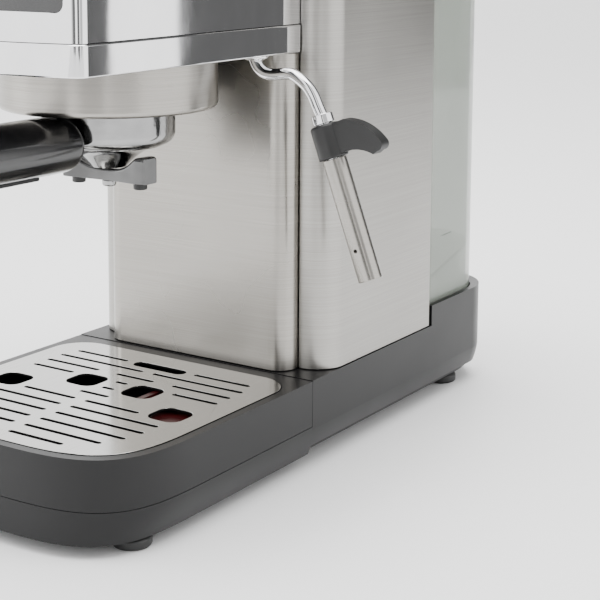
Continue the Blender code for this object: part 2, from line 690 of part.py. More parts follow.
def make_portafilter():
    """Filter holder, basket, spout, tips and handle, all on the group's axis."""
    outer, inner, bore = FILTER_RADIUS, FILTER_RADIUS - 0.0028, 0.0028
    bottom = FILTER_BOTTOM
    corner = arc(outer - 0.005, bottom + 0.005, 0.005, 0, -80, 4)
    profile = [(outer, 0.1918)] + corner
    profile += [(0.0222, 0.1650), (0.0175, 0.1625), (0.0130, 0.1590), (0.0100, 0.1565), (0.0085, NECK_BOTTOM)]
    profile += [(bore, NECK_BOTTOM), (bore, 0.1700), (inner, 0.1700), (inner, 0.1918)]
    body = add_turned("portafilter_body", profile, "cast", closed=True, steps=36, parent=FILTER_AXIS,
                      location=(0, 0, -HANDLE_HEIGHT))
    for side, centre in (("left", 180), ("right", 0)):
        ear = arc(0, 0, 0.0374, centre - 18, centre + 18, 4)
        ear += arc(0, 0, 0.0305, centre + 18, centre - 18, 4)
        cutter = add_cutter("ear_" + side, plate_mesh([ear], 0.1890, 0.1915), FILTER_AXIS,
                            (0, 0, -HANDLE_HEIGHT))
        combine(body, cutter, "UNION")
    stem = rod_mesh(0.0075, 0.0300, 0.0345, 16)
    combine(body, add_cutter("handle_stem", stem, FILTER_AXIS, rotation=(pi / 2, 0, 0)), "UNION")

    rim, wall = 0.0286, 0.0008
    basket = [(0, 0.1748), (0.0275 - wall, 0.1748), (rim - wall, 0.1929), (0.0312, 0.1929),
              (0.0312, 0.1921), (rim, 0.1921), (0.0275, 0.1740), (0, 0.1740)]
    add_turned("filter_basket", basket, "satin", steps=36, parent=FILTER_AXIS,
               location=(0, 0, -HANDLE_HEIGHT))


def spout_section(x, height, half_depth):
    """One upright cut through the spout, with soft upper and small lower corners."""
    corner, foot = 0.0014, 0.0005
    front = [(-half_depth + foot, 0), (-half_depth, foot), (-half_depth, height - corner)]
    front += [(-half_depth + 0.3 * corner, height - 0.3 * corner), (-half_depth + corner, height)]
    back = [(-y, z) for y, z in reversed(front)]
    return [(x, y, z) for y, z in front + back]


def make_spout():
    """Twin spout: a bar with a saddle top, drilled down the middle and out through each arm."""
    low = SPOUT_BOTTOM
    half = SPOUT_HALF_SPAN
    stations = [(0.0, 0.0057, 0.0042), (0.006, 0.0059, 0.0043), (0.010, 0.0066, 0.0046),
                (0.014, 0.0082, 0.0050), (0.017, 0.0103, 0.0053), (0.0192, 0.0120, 0.0056),
                (0.0210, 0.0126, 0.0057), (half - 0.0016, 0.0126, 0.0056), (half - 0.0004, 0.0123, 0.0051),
                (half, 0.0119, 0.0043)]
    places = [(-x, height, depth) for x, height, depth in reversed(stations[1:])] + stations
    sections = [spout_section(*place) for place in places]
    spout = add_part("twin_spout", loft_mesh(sections), "cast", FILTER_AXIS, (0, 0, low - HANDLE_HEIGHT))
    for side, sign in (("left", -1), ("right", 1)):
        drilling = rod_mesh(0.0021, -0.006, 0.0075, 10)
        place = (sign * SPOUT_TIP_X, 0, low - HANDLE_HEIGHT)
        combine(spout, add_cutter("arm_drilling_" + side, drilling, FILTER_AXIS, place))
        tip = [(0.0033, 0), (0.0033, -0.0024), (0.0029, -0.0028), (0.0019, -0.0028), (0.0019, 0)]
        add_turned("spout_tip_" + side, tip, "rubber", closed=True, steps=16, parent=FILTER_AXIS,
                   location=(sign * SPOUT_TIP_X, 0, low - GAP - HANDLE_HEIGHT))
    cross = rod_mesh(0.0014, -0.0195, 0.0195, 10)
    combine(spout, add_cutter("cross_channel", cross, FILTER_AXIS, (0, 0, low + 0.0028 - HANDLE_HEIGHT),
                              (0, pi / 2, 0)))
    centre = rod_mesh(0.0022, 0.0028, 0.03, 12)
    combine(spout, add_cutter("centre_drilling", centre, FILTER_AXIS, (0, 0, low - HANDLE_HEIGHT)))
    screw = [(0, 0), (0.0034, 0), (0.0034, -0.0020), (0.0028, -0.0028), (0, -0.0028)]
    add_turned("spout_screw", screw, "cast", steps=16, parent=FILTER_AXIS,
               location=(0, 0, low - GAP - HANDLE_HEIGHT))


def make_handle():
    """Oval handle, flattened below for an inlaid strip."""
    start = 0.0348
    stations = [(start, 0.0135, 0.0104), (start + 0.0006, 0.0152, 0.0119), (start + 0.0024, 0.0163, 0.0128),
                (start + 0.0060, 0.0166, 0.0131), (0.060, 0.0166, 0.0133), (0.090, 0.0162, 0.0133),
                (0.120, 0.0155, 0.0131), (0.145, 0.0146, 0.0127), (0.157, 0.0130, 0.0114),
                (0.163, 0.0098, 0.0086), (HANDLE_END, 0.0055, 0.0048)]
    sections = [[(wide * x, -reach, tall * z) for x, z in circle(1.0, 24)] for reach, wide, tall in stations]
    handle = add_part("portafilter_handle", loft_mesh(sections), "black", FILTER_AXIS)
    flat = box_mesh((0.05, 0.110, 0.01), (0, -0.103, -0.0122 - 0.005))
    combine(handle, add_cutter("handle_flat", flat, FILTER_AXIS))
    strip = rounded_box(0.0060, 0.0500, 0.004, 0, -0.103)
    add_part("handle_strip", plate_mesh([strip], -0.0138, -0.0122 - GAP), "dark", FILTER_AXIS)


# ---- steam wand and valve -------------------------------------------------------------------
def wand_place(distance):
    """A point on the wand's straight lower part, measured from where its grip begins."""
    x = 0.0396 + sin(WAND_LEAN) * distance
    z = -0.0337 - cos(WAND_LEAN) * distance
    return (x, 0, z)


def make_wand():
    socket = [(0.0066, 0.2145), (0.0066, 0.2052), (0.0046, 0.2040), (0.0036, 0.2047), (0.0056, 0.2075),
              (0.0056, 0.2145)]
    add_turned("wand_socket", socket, "mirror", closed=True, steps=20, location=(WAND_X, WAND_Y, 0))
    ball = bpy.data.meshes.new("wand_ball")
    shape = bmesh.new()
    bmesh.ops.create_uvsphere(shape, u_segments=16, v_segments=10, radius=0.0049)
    shape.to_mesh(ball)
    shape.free()
    ball.shade_smooth()
    ball_part = add_part("wand_ball", ball, "mirror", WAND_AXIS)
    bore = rod_mesh(TUBE_RADIUS + GAP, -0.02, 0.001, 16)
    combine(ball_part, add_cutter("tube_bore", bore, WAND_AXIS))

    bends = [(0, -0.0010), (0, -0.0040), (0.0008, -0.0062), (0.0026, -0.0088), (0.0052, -0.0106),
             (0.0085, -0.0115), (0.0122, -0.0115), (0.0179, -0.0108), (0.0215, -0.0109), (0.0242, -0.0120),
             (0.0275, -0.0140), (0.0302, -0.0162), (0.0325, -0.0190), (0.0342, -0.0218), (0.0360, -0.0256)]
    route = [(x, 0, z) for x, z in bends] + [wand_place(-0.004), wand_place(0.004), wand_place(0.0560)]
    add_part("wand_tube", tube_curve(route, TUBE_RADIUS, 2), "mirror", WAND_AXIS)

    lean = (0, -WAND_LEAN, 0)
    clear = TUBE_RADIUS + GAP
    nut = [(0.0053, 0.0050), (0.0053, 0.0003), (clear, 0.0003), (clear, 0.0050)]
    add_turned("wand_nut", nut, "mirror", closed=True, steps=16, parent=WAND_AXIS,
               location=wand_place(0), rotation=lean)

    grip_length = 0.0165
    grip = [(0, 0), (0.0062, 0), (0.0072, -0.0010), (0.0072, 0.0004 - grip_length), (0.0068, -grip_length),
            (0, -grip_length)]
    grip_part = add_turned("wand_grip", grip, "rubber", steps=24, parent=WAND_AXIS, location=wand_place(0),
                           rotation=lean)
    tab = arc(0.0525, -0.0560, 0.0262, 92, 42, 6) + arc(0.0697, -0.0403, 0.0030, 20, -80, 3)
    tab += arc(0.0606, -0.0640, 0.0205, 68, 118, 4) + [(0.0440, -0.0440), (0.0440, -0.0330)]
    tab_mesh = plate_mesh([tab], -0.0035, 0.0035)
    tab_cutter = add_cutter("finger_tab", tab_mesh, WAND_AXIS, rotation=(pi / 2, 0, 0))
    combine(grip_part, tab_cutter, "UNION")
    grip_bore = rod_mesh(clear, -0.03, 0.010, 16)
    combine(grip_part, add_cutter("grip_bore", grip_bore, WAND_AXIS, wand_place(0), lean))

    start, end = grip_length + GAP, 0.0762
    sleeve = [(0.0058, -start), (0.0058, -end + 0.0006), (0.0053, -end), (0.0045, -end), (0.0045, -start)]
    sleeve_part = add_turned("wand_sleeve", sleeve, "brushed", closed=True, steps=24, parent=WAND_AXIS,
                             location=wand_place(0), rotation=lean)
    air = rod_mesh(0.0010, 0.0, 0.012, 10)
    combine(sleeve_part, add_cutter("air_hole", air, WAND_AXIS, wand_place(0.0612), (pi / 2, 0, 0)))
    nozzle = [(0, -0.0563), (0.0040, -0.0563), (0.0040, -0.0600), (0.0022, -0.0640), (0, -0.0640)]
    add_turned("wand_nozzle", nozzle, "satin", steps=16, parent=WAND_AXIS,
               location=wand_place(0), rotation=lean)


def make_valve():
    """Steam valve body inside, its spindle through the side panel and the knob outside."""
    body = [(0.0085, -0.0100), (0.0085, -0.0330), (0.0034, -0.0330), (0.0034, -0.0100)]
    add_turned("steam_valve", body, "brass", closed=True, steps=20,
               location=(HOUSING_HALF_WIDTH, KNOB_Y, KNOB_Z), rotation=(0, pi / 2, 0))
    spindle = [(0, 0.0100), (0.0028, 0.0100), (0.0028, -0.0250), (0.0010, -0.0290), (0, -0.0290)]
    add_turned("steam_spindle", spindle, "brass", steps=16, parent=KNOB_AXIS)
    knob = [(0, 0.0200), (0.0142, 0.0200), (0.0155, 0.0185), (0.0160, 0.0050), (0.0168, 0.0012),
            (0.0168, GAP), (0.0032, GAP), (0.0032, 0.0135), (0, 0.0135)]
    add_turned("steam_knob", knob, "black", steps=28, parent=KNOB_AXIS)


# ---- water tank -----------------------------------------------------------------------------
def make_tank():
    """Clear tank with a floor sloped like its dock and a skirt that stands in the base."""
    wall = TANK_WALL
    tank = add_part("water_tank", plate_mesh([tank_outline()], TANK_SEAT + GAP, TANK_TOP), "clear")
    floor_low = DOCK_PIVOT_Z + 0.0010
    floor_high = floor_low + 0.0024
    below = add_cutter("tank_underside", plate_mesh([tank_outline(wall)], 0.02, 0.12))
    shaver = box_mesh((0.20, 0.20, 0.08), (0, 0, 0.04))
    combine(below, add_cutter("underside_slope", shaver, location=(0, DOCK_PIVOT_Y, floor_low),
                              rotation=(DOCK_SLOPE, 0, 0)))
    combine(tank, below)
    above = add_cutter("tank_inside", plate_mesh([tank_outline(wall)], 0.05, TANK_TOP + 0.01))
    shaver = box_mesh((0.20, 0.20, 0.08), (0, 0, -0.04))
    combine(above, add_cutter("inside_slope", shaver, location=(0, DOCK_PIVOT_Y, floor_high),
                              rotation=(DOCK_SLOPE, 0, 0)))
    combine(tank, above)
    port = plate_mesh([circle(0.0060, 16, 0, OUTLET_Y)], 0.05, 0.12)
    combine(tank, add_cutter("valve_port", port))

    top = tank_outline(-0.0008)
    lid = add_part("tank_lid", plate_mesh([top], TANK_TOP + GAP, LID_TOP), "black", LID_AXIS)
    lid.location = (0, -LID_HINGE[1], -LID_HINGE[2])
    step_outline = tank_outline(wall + 0.0008, TANK_FRONT + 0.003)
    step = plate_mesh([step_outline], TANK_TOP - 0.005, TANK_TOP + 0.002)
    combine(lid, add_cutter("lid_step", step, LID_AXIS, lid.location), "UNION")

    valve = [(0, 0.0845), (0.0085, 0.0845), (0.0085, 0.0830), (0.0040, 0.0820), (0.0040, 0.0620),
             (0, 0.0620)]
    add_turned("tank_valve", valve, "black", steps=16,
               location=(0, OUTLET_Y, 0))


# ---- inside ---------------------------------------------------------------------------------
def make_works():
    boiler = [(0, 0.2520), (0.0100, 0.2520), (0.0300, 0.2470), (0.0385, 0.2380), (0.0385, 0.2180),
              (0.0440, 0.2170), (0.0440, 0.2101), (0, 0.2101)]
    add_turned("boiler", boiler, "aluminium", steps=28)

    pump = [(0, 0.1600), (0.0045, 0.1600), (0.0045, 0.1480), (0.0150, 0.1470), (0.0180, 0.1440),
            (0.0180, 0.0900), (0.0090, 0.0880), (0.0090, 0.0760), (0.0045, 0.0740), (0, 0.0740)]
    pump_part = add_turned("pump", pump, "black", steps=20, location=(-0.020, 0.130, 0))
    coil = box_mesh((0.040, 0.040, 0.032), (-0.020, 0.130, 0.118))
    combine(pump_part, add_cutter("pump_coil", coil), "UNION")
    mount = plate_mesh([rounded_box(0.0170, 0.0170, 0.004, -0.020, 0.130),
                                      circle(0.0095, 16, -0.020, 0.130)], DECK + 0.0036, 0.0876)
    mount_part = add_part("pump_mount", mount, "rubber")
    slot = box_mesh((0.009, 0.030, 0.08), (-0.020, 0.147, 0.07))
    combine(mount_part, add_cutter("hose_slot", slot))

    valve = add_part("solenoid_valve", box_mesh((0.024, 0.026, 0.020), (0, 0.004, 0.2695)),
                     "black")
    stub = rod_mesh(0.0070, 0.2524, 0.2650, 16)
    combine(valve, add_cutter("valve_stub", stub, location=(0, 0.004, 0)), "UNION")

    pump_x, pump_y, pipe_z = -0.020, 0.130, 0.2695
    suction = [(0, OUTLET_Y, 0.0470), (0, OUTLET_Y, 0.034), (0, 0.160, 0.034), (0, 0.160, 0.058),
               (pump_x, 0.160, 0.058), (pump_x, pump_y, 0.058), (pump_x, pump_y, 0.0735)]
    pressure = [(pump_x, pump_y, 0.1604), (pump_x, pump_y, 0.200), (pump_x, 0.080, 0.230),
                (0, 0.060, pipe_z), (0, 0.0174, pipe_z)]
    steam = [(0.0414, KNOB_Y, KNOB_Z), (0.030, KNOB_Y, KNOB_Z), (0.030, 0.100, 0.235),
             (0.0475, 0.0545, 0.235), (WAND_X, WAND_Y, 0.2149)]
    routes = {
        "suction_hose": (suction, 0.0030, "hose"),
        "pressure_pipe": (pressure, 0.0020, "hose"),
        "steam_pipe": (steam, 0.0024, "satin"),
    }
    for name, (corners, radius, finish) in routes.items():
        add_part(name, tube_curve(smooth_route(corners), radius), finish)


# ---- assembly -------------------------------------------------------------------------------
PANEL = new_empty("panel_centre", (0, PANEL_FOOT_Y + PANEL_REACH * sin(PANEL_SLOPE),
                                   PANEL_FOOT_Z + PANEL_REACH * cos(PANEL_SLOPE)),
                  (pi / 2 - PANEL_SLOPE, 0, 0), MACHINE)
FILTER_AXIS = new_empty("portafilter_axis", (0, 0, HANDLE_HEIGHT), parent=MACHINE)
WAND_AXIS = new_empty("wand_axis", (WAND_X, WAND_Y, WAND_Z), parent=MACHINE)
KNOB_AXIS = new_empty("knob_axis", (HOUSING_HALF_WIDTH, KNOB_Y, KNOB_Z), (0, pi / 2, 0), MACHINE)
LID_HINGE = (0, TANK_FRONT, LID_TOP)
LID_AXIS = new_empty("lid_hinge_axis", LID_HINGE, parent=MACHINE)

make_base()
make_inlet()
make_tray()
make_drip_plate()
make_float()
make_column()
make_side_panels()
make_chassis()
make_rear_cover()
make_tank_dock()
make_head()
make_panel()
make_top()
make_group()
make_portafilter()
make_spout()
make_handle()
make_wand()
make_valve()
make_tank()
make_works()
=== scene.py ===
import json
from math import atan2, cos, pi, radians, sin, sqrt

import bmesh
import bpy
from mathutils import Matrix, Vector

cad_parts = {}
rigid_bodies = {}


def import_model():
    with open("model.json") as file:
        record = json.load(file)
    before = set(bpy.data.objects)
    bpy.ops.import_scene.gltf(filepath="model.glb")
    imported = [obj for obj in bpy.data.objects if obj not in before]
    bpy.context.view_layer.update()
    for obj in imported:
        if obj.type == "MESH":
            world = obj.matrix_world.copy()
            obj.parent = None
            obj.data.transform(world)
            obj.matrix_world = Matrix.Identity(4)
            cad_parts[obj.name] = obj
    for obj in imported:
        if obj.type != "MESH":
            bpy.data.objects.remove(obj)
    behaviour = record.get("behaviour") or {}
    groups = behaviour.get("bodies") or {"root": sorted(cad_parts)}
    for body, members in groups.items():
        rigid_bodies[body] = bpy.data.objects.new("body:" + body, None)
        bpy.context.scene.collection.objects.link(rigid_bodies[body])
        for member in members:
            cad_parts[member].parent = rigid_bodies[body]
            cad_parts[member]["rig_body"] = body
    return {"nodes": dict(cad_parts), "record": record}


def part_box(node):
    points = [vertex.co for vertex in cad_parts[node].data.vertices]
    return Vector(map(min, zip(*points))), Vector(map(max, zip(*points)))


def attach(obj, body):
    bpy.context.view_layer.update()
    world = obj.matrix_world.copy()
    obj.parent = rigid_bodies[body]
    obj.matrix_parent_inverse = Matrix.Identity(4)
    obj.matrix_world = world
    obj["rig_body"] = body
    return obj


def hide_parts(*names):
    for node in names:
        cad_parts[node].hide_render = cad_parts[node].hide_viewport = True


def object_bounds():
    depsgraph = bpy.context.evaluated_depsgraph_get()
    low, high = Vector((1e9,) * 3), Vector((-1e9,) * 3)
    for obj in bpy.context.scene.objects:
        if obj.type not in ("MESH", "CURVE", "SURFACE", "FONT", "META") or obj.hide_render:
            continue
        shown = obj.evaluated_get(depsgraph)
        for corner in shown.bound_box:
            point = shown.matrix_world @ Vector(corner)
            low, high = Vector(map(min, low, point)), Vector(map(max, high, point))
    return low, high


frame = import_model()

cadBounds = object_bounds()
ringLow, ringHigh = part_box("group_ring")
groupAxis = Vector(((ringLow.x + ringHigh.x) / 2, (ringLow.y + ringHigh.y) / 2, 0))
print("frame loaded:", len(frame["nodes"]), "nodes")


# places are worked out from the group's axis, then carried back to the frame
def nodeBox(name):
    low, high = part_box(name)
    return low - groupAxis, high - groupAxis


# camera, floor and light

studio = {
    "cameraPlace": (0.4298, -0.5992, 0.2666),
    "cameraTurn": 34.867,
    "cameraDip": 7.93,
    "lens": 89.27,
    "shift": (0.1034, -0.272),
    "floorColour": (0.95, 0.95, 0.95),
    "floorSize": (1.6, 5.0),
    "floorShift": 2.4,
    "softboxes": [("overheadSoftbox", (0.1, -0.1, 1.6), 1.4, 1.4, 34),
                  ("leftSoftbox", (-1.5, -0.9, 0.8), 0.8, 1.4, 10)],
    "airLight": 2.6,
    "zones": [(72, 27, 3.0, 0.16), (51.5, 1.35, 0.1, 2.6), (293, 13, 3.0, 0.22), (327, 14, 3.0, 0.9)],
}


def makeCamera():
    data = bpy.data.cameras.new("camera")
    data.lens = studio["lens"]
    data.sensor_width = 36
    data.shift_x, data.shift_y = studio["shift"]
    camera = bpy.data.objects.new("camera", data)
    camera.location = studio["cameraPlace"]
    camera.rotation_euler = (radians(90 - studio["cameraDip"]), 0, radians(studio["cameraTurn"]))
    bpy.context.scene.collection.objects.link(camera)
    bpy.context.scene.camera = camera


def addSoftbox(name, place, target, width, height, power):
    data = bpy.data.lights.new(name, "AREA")
    data.shape = "RECTANGLE"
    data.size, data.size_y = width, height
    data.energy = power
    light = bpy.data.objects.new(name, data)
    light.location = place
    aim = Vector(target) - Vector(place)
    light.rotation_euler = aim.to_track_quat("-Z", "Y").to_euler()
    bpy.context.scene.collection.objects.link(light)


def treeNode(tree, kind, links=None, **settings):
    node = tree.nodes.new(kind)
    for label, value in settings.items():
        setattr(node, label, value)
    for label, value in (links or {}).items():
        if isinstance(value, bpy.types.Node):
            value = value.outputs[0]
        if isinstance(value, bpy.types.NodeSocket):
            tree.links.new(value, node.inputs[label])
        else:
            node.inputs[label].default_value = value
    return node


def bearingMask(tree, bearing, spread, softness):
    # 1 where the air lies within spread degrees of a compass bearing, and 0 elsewhere
    coords = treeNode(tree, "ShaderNodeTexCoord")
    flat = treeNode(tree, "ShaderNodeVectorMath", {0: coords, 1: (1, 1, 0)}, operation="MULTIPLY")
    level = treeNode(tree, "ShaderNodeVectorMath", {0: flat}, operation="NORMALIZE")
    middle = (cos(radians(bearing)), sin(radians(bearing)), 0)
    toward = treeNode(tree, "ShaderNodeVectorMath", {0: level, 1: middle}, operation="DOT_PRODUCT")
    edge = treeNode(tree, "ShaderNodeMapRange", {"Value": toward.outputs["Value"],
                                                 "From Min": cos(radians(spread + softness)),
                                                 "From Max": cos(radians(max(0, spread - softness)))},
                    interpolation_type="SMOOTHSTEP")
    return edge.outputs["Result"]


def makeAir():
    # pale air with a few dimmer bearings, which polished metal needs; a zone is its middle
    # bearing, half its width, its softness (all in degrees) and its light
    world = bpy.data.worlds.new("studioAir")
    world.use_nodes = True
    bpy.context.scene.world = world
    tree = world.node_tree
    level = studio["airLight"]
    for bearing, spread, softness, light in studio["zones"]:
        mask = bearingMask(tree, bearing, spread, softness)
        level = treeNode(tree, "ShaderNodeMix", {"Factor": mask, "A": level, "B": light}).outputs["Result"]
    # the backdrop itself stays plain and pale, whatever the metal mirrors
    rays = treeNode(tree, "ShaderNodeLightPath")
    seen = treeNode(tree, "ShaderNodeMix", {"Factor": rays.outputs["Is Camera Ray"], "A": level,
                                            "B": studio["airLight"]})
    tree.links.new(seen.outputs["Result"], tree.nodes["Background"].inputs["Strength"])
    tree.nodes["Background"].inputs["Color"].default_value = (1, 1, 1, 1)


def makeStudio():
    low, high = cadBounds
    middle = (low + high) / 2
    for name, place, width, height, power in studio["softboxes"]:
        addSoftbox(name, place, middle, width, height, power)
    makeAir()

    shape = bmesh.new()
    reach = Matrix.Diagonal((*studio["floorSize"], 1, 1))
    bmesh.ops.create_grid(shape, x_segments=2, y_segments=2, size=1.0, matrix=reach)
    mesh = bpy.data.meshes.new("floor")
    shape.to_mesh(mesh)
    shape.free()
    floor = bpy.data.objects.new("floor", mesh)
    bearing = radians(90 + studio["cameraTurn"])
    away = Vector((cos(bearing), sin(bearing), 0)) * studio["floorShift"]
    floor.location = (middle.x + away.x, middle.y + away.y, low.z - 0.0002)
    floor.rotation_euler.z = radians(studio["cameraTurn"])
    bpy.context.scene.collection.objects.link(floor)
    finish = bpy.data.materials.new("floorPaper")
    finish.use_nodes = True
    shader = finish.node_tree.nodes["Principled BSDF"]
    shader.inputs["Base Color"].default_value = (*studio["floorColour"], 1)
    shader.inputs["Roughness"].default_value = 0.55
    floor.data.materials.append(finish)


makeCamera()
makeStudio()
print("camera and light ready")


# finishes

def newFinish(name, colour, roughness, metallic=0.0, **fixed):
    finish = bpy.data.materials.new(name)
    finish.use_nodes = True
    shader = finish.node_tree.nodes["Principled BSDF"]
    shader.inputs["Base Color"].default_value = (*colour, 1)
    shader.inputs["Roughness"].default_value = roughness
    shader.inputs["Metallic"].default_value = metallic
    for label, value in fixed.items():
        shader.inputs[label.replace("_", " ")].default_value = value
    return finish


def addNode(finish, kind, values=None, **settings):
    return treeNode(finish.node_tree, "ShaderNode" + kind, values, **settings)


def grain(finish, density, detail=2.0, roughness=0.5):
    # density is how many blotches a metre holds along X, Y and Z
    coords = addNode(finish, "TexCoord")
    mapping = addNode(finish, "Mapping", {"Vector": coords.outputs["Object"], "Scale": density})
    noise = addNode(finish, "TexNoise", {"Vector": mapping.outputs["Vector"], "Scale": 1.0,
                                                   "Detail": detail, "Roughness": roughness})
    return noise.outputs["Fac"]


def toRange(finish, value, low, high, start=0.3, end=0.7):
    node = addNode(finish, "MapRange", {"Value": value, "From Min": start, "From Max": end,
                                                  "To Min": low, "To Max": high})
    return node.outputs["Result"]


def shades(finish, value, dark, light, start=0.3, end=0.7):
    ramp = addNode(finish, "ValToRGB", {"Fac": value})
    first, last = ramp.color_ramp.elements
    first.position, last.position = start, end
    first.color, last.color = (*dark, 1), (*light, 1)
    return ramp.outputs["Color"]


def wire(finish, **sockets):
    shader = finish.node_tree.nodes["Principled BSDF"]
    for label, value in sockets.items():
        finish.node_tree.links.new(value, shader.inputs[label.replace("_", " ")])


def addRelief(finish, height, distance, strength=1.0):
    bump = addNode(finish, "Bump", {"Height": height, "Distance": distance, "Strength": strength})
    wire(finish, Normal=bump.outputs["Normal"])


def brushedFinish(name, density, colour=(0.34, 0.325, 0.30), rough=(0.22, 0.34), anisotropy=0.6, turn=0.25):
    finish = newFinish(name, colour, 0.32, 1.0, Anisotropic=anisotropy, Anisotropic_Rotation=turn)
    lines = grain(finish, density, 3.0, 0.65)
    cloud = grain(finish, (14, 14, 14), 2.0)
    dark = tuple(0.86 * part for part in colour)
    light = tuple(min(1.0, 1.12 * part) for part in colour)
    wire(finish, Base_Color=shades(finish, lines, dark, light), Roughness=toRange(finish, cloud, *rough))
    addRelief(finish, lines, 0.00002, 0.5)
    return finish


def mirrorFinish():
    finish = newFinish("mirrorChrome", (0.80, 0.80, 0.81), 0.05, 1.0)
    smears = grain(finish, (60, 60, 25), 4.0, 0.6)
    waves = grain(finish, (16, 16, 22), 1.0)
    wire(finish, Roughness=toRange(finish, smears, 0.012, 0.045),
         Base_Color=shades(finish, smears, (0.76, 0.76, 0.77), (0.83, 0.83, 0.84)))
    addRelief(finish, waves, 0.0004, 0.12)
    return finish


def satinFinish():
    finish = newFinish("satinSteel", (0.48, 0.475, 0.46), 0.12, 1.0)
    lines = grain(finish, (3800, 40, 3800), 3.0, 0.6)
    cloud = grain(finish, (22, 22, 22), 3.0)
    wire(finish, Base_Color=shades(finish, lines, (0.44, 0.435, 0.42), (0.52, 0.515, 0.50)),
         Roughness=toRange(finish, cloud, 0.09, 0.16))
    addRelief(finish, lines, 0.000008, 0.4)
    return finish


def castFinish(name, dark, light):
    finish = newFinish(name, (light, light, light), 0.12, 1.0)
    peel = grain(finish, (260, 260, 260), 3.0)
    cloud = grain(finish, (45, 45, 45), 3.0)
    wire(finish, Base_Color=shades(finish, cloud, (dark, dark, dark), (light, light, light)),
         Roughness=toRange(finish, cloud, 0.07, 0.16))
    addRelief(finish, peel, 0.00012, 0.5)
    return finish


def mouldedFinish(name, colour, rough, density=1500, depth=0.00004, **fixed):
    finish = newFinish(name, colour, sum(rough) / 2, 0.0, **fixed)
    texture = grain(finish, (density, density, density), 3.0, 0.6)
    cloud = grain(finish, (30, 30, 30), 3.0)
    dark = tuple(0.88 * part for part in colour)
    light = tuple(1.12 * part for part in colour)
    wire(finish, Base_Color=shades(finish, cloud, dark, light), Roughness=toRange(finish, cloud, *rough))
    addRelief(finish, texture, depth, 0.5)
    return finish


def clearFinish():
    finish = newFinish("clearTank", (0.30, 0.33, 0.29), 0.06, 0.0, Alpha=0.55, IOR=1.49)
    cloud = grain(finish, (12, 12, 6), 2.0)
    wire(finish, Base_Color=shades(finish, cloud, (0.27, 0.30, 0.26), (0.33, 0.36, 0.32)),
         Roughness=toRange(finish, cloud, 0.04, 0.09))
    return finish


finishes = {
    "brushed_steel": brushedFinish("brushedAcross", (12, 12, 5200)),
    "mirror_chrome": mirrorFinish(),
    "satin_steel": satinFinish(),
    "cast_metal": castFinish("polishedCasting", 0.26, 0.36),
    "dark_plastic": mouldedFinish("darkMoulding", (0.0065, 0.0065, 0.0068), (0.30, 0.38),
                                  Specular_IOR_Level=0.26),
    "gloss_black": mouldedFinish("glossBlack", (0.007, 0.007, 0.0075), (0.14, 0.22), 240, 0.00005,
                                 Coat_Weight=0.35, Coat_Roughness=0.06),
    "inner_plastic": mouldedFinish("innerMoulding", (0.03, 0.03, 0.032), (0.5, 0.62)),
    "black_rubber": mouldedFinish("blackRubber", (0.006, 0.006, 0.006), (0.40, 0.55), 900, 0.00006),
    "red_plastic": mouldedFinish("redMoulding", (0.035, 0.0025, 0.003), (0.25, 0.36), 300, 0.00003),
    "clear_tank": clearFinish(),
    "bare_aluminium": mouldedFinish("castAluminium", (0.60, 0.61, 0.62), (0.34, 0.48), 700, 0.0001,
                                    Metallic=1.0),
    "brass": mouldedFinish("turnedBrass", (0.62, 0.47, 0.20), (0.2, 0.34), 900, 0.00003, Metallic=1.0),
    "circuit_board": mouldedFinish("circuitBoard", (0.02, 0.14, 0.06), (0.35, 0.5)),
    "silicone_hose": mouldedFinish("siliconeHose", (0.60, 0.58, 0.54), (0.3, 0.42), 400, 0.00005),
    "amber_lens": mouldedFinish("amberLens", (0.75, 0.32, 0.04), (0.1, 0.18), 300, 0.00002),
}
sidePanelFinish = brushedFinish("brushedSide", (12, 12, 5200), (0.36, 0.35, 0.33), (0.30, 0.38), 0.2)
# painted shade: a much darker copy of the polished casting for the twin spout, its colour standing in for
# the dark surroundings the spout mirrors
shadedSpoutFinish = castFinish("spoutCastingPaintedShade", 0.08, 0.14)
# painted shade: near-black steel for the side walls of the slotted sheets (drip plate, cup plate, shower
# screen), slot walls and outer edge alike
slotShade = newFinish("slotShade", (0.02, 0.02, 0.02), 0.5, 1.0)
slotOfNode = {part["node"]: part["material_slot"] for part in frame["record"]["subparts"]}
for nodeName, node in frame["nodes"].items():
    node.data.materials.clear()
    node.data.materials.append(finishes[slotOfNode[nodeName]])
print("finishes ready:", len(finishes))


# shaping helpers

def arc(centreX, centreY, radius, start, end, steps):
    points = []
    for step in range(steps + 1):
        angle = radians(start + (end - start) * step / steps)
        points.append((centreX + radius * cos(angle), centreY + radius * sin(angle)))
    return points


def circle(radius, steps=48, centreX=0.0, centreY=0.0):
    return arc(centreX, centreY, radius, 0, 360 * (steps - 1) / steps, steps - 1)


def roundedBox(halfX, halfY, corner, centreX=0.0, centreY=0.0, steps=8):
    points = []
    for turn, (signX, signY) in enumerate(((1, 1), (-1, 1), (-1, -1), (1, -1))):
        points += arc(centreX + signX * (halfX - corner), centreY + signY * (halfY - corner),
                      corner, 90 * turn, 90 * turn + 90, steps)
    return points


def mirrored(points):
    return list(points) + [(-x, y) for x, y in reversed(points)]


def eased(points, radius, closed=False, steps=3):
    # swaps each corner for a short bend that takes at most 45% of either side
    count = len(points)
    result = []
    for index, corner in enumerate(points):
        if not closed and index in (0, count - 1):
            result.append(tuple(corner))
            continue
        ends = []
        for other in (points[index - 1], points[(index + 1) % count]):
            span = sqrt(sum((a - b) ** 2 for a, b in zip(other, corner)))
            share = min(radius / span, 0.45) if span else 0
            ends.append([c + (o - c) * share for c, o in zip(corner, other)])
        for step in range(steps + 1):
            t = step / steps
            result.append(tuple((1 - t) ** 2 * a + 2 * t * (1 - t) * c + t ** 2 * b
                                for a, c, b in zip(ends[0], corner, ends[1])))
    return result


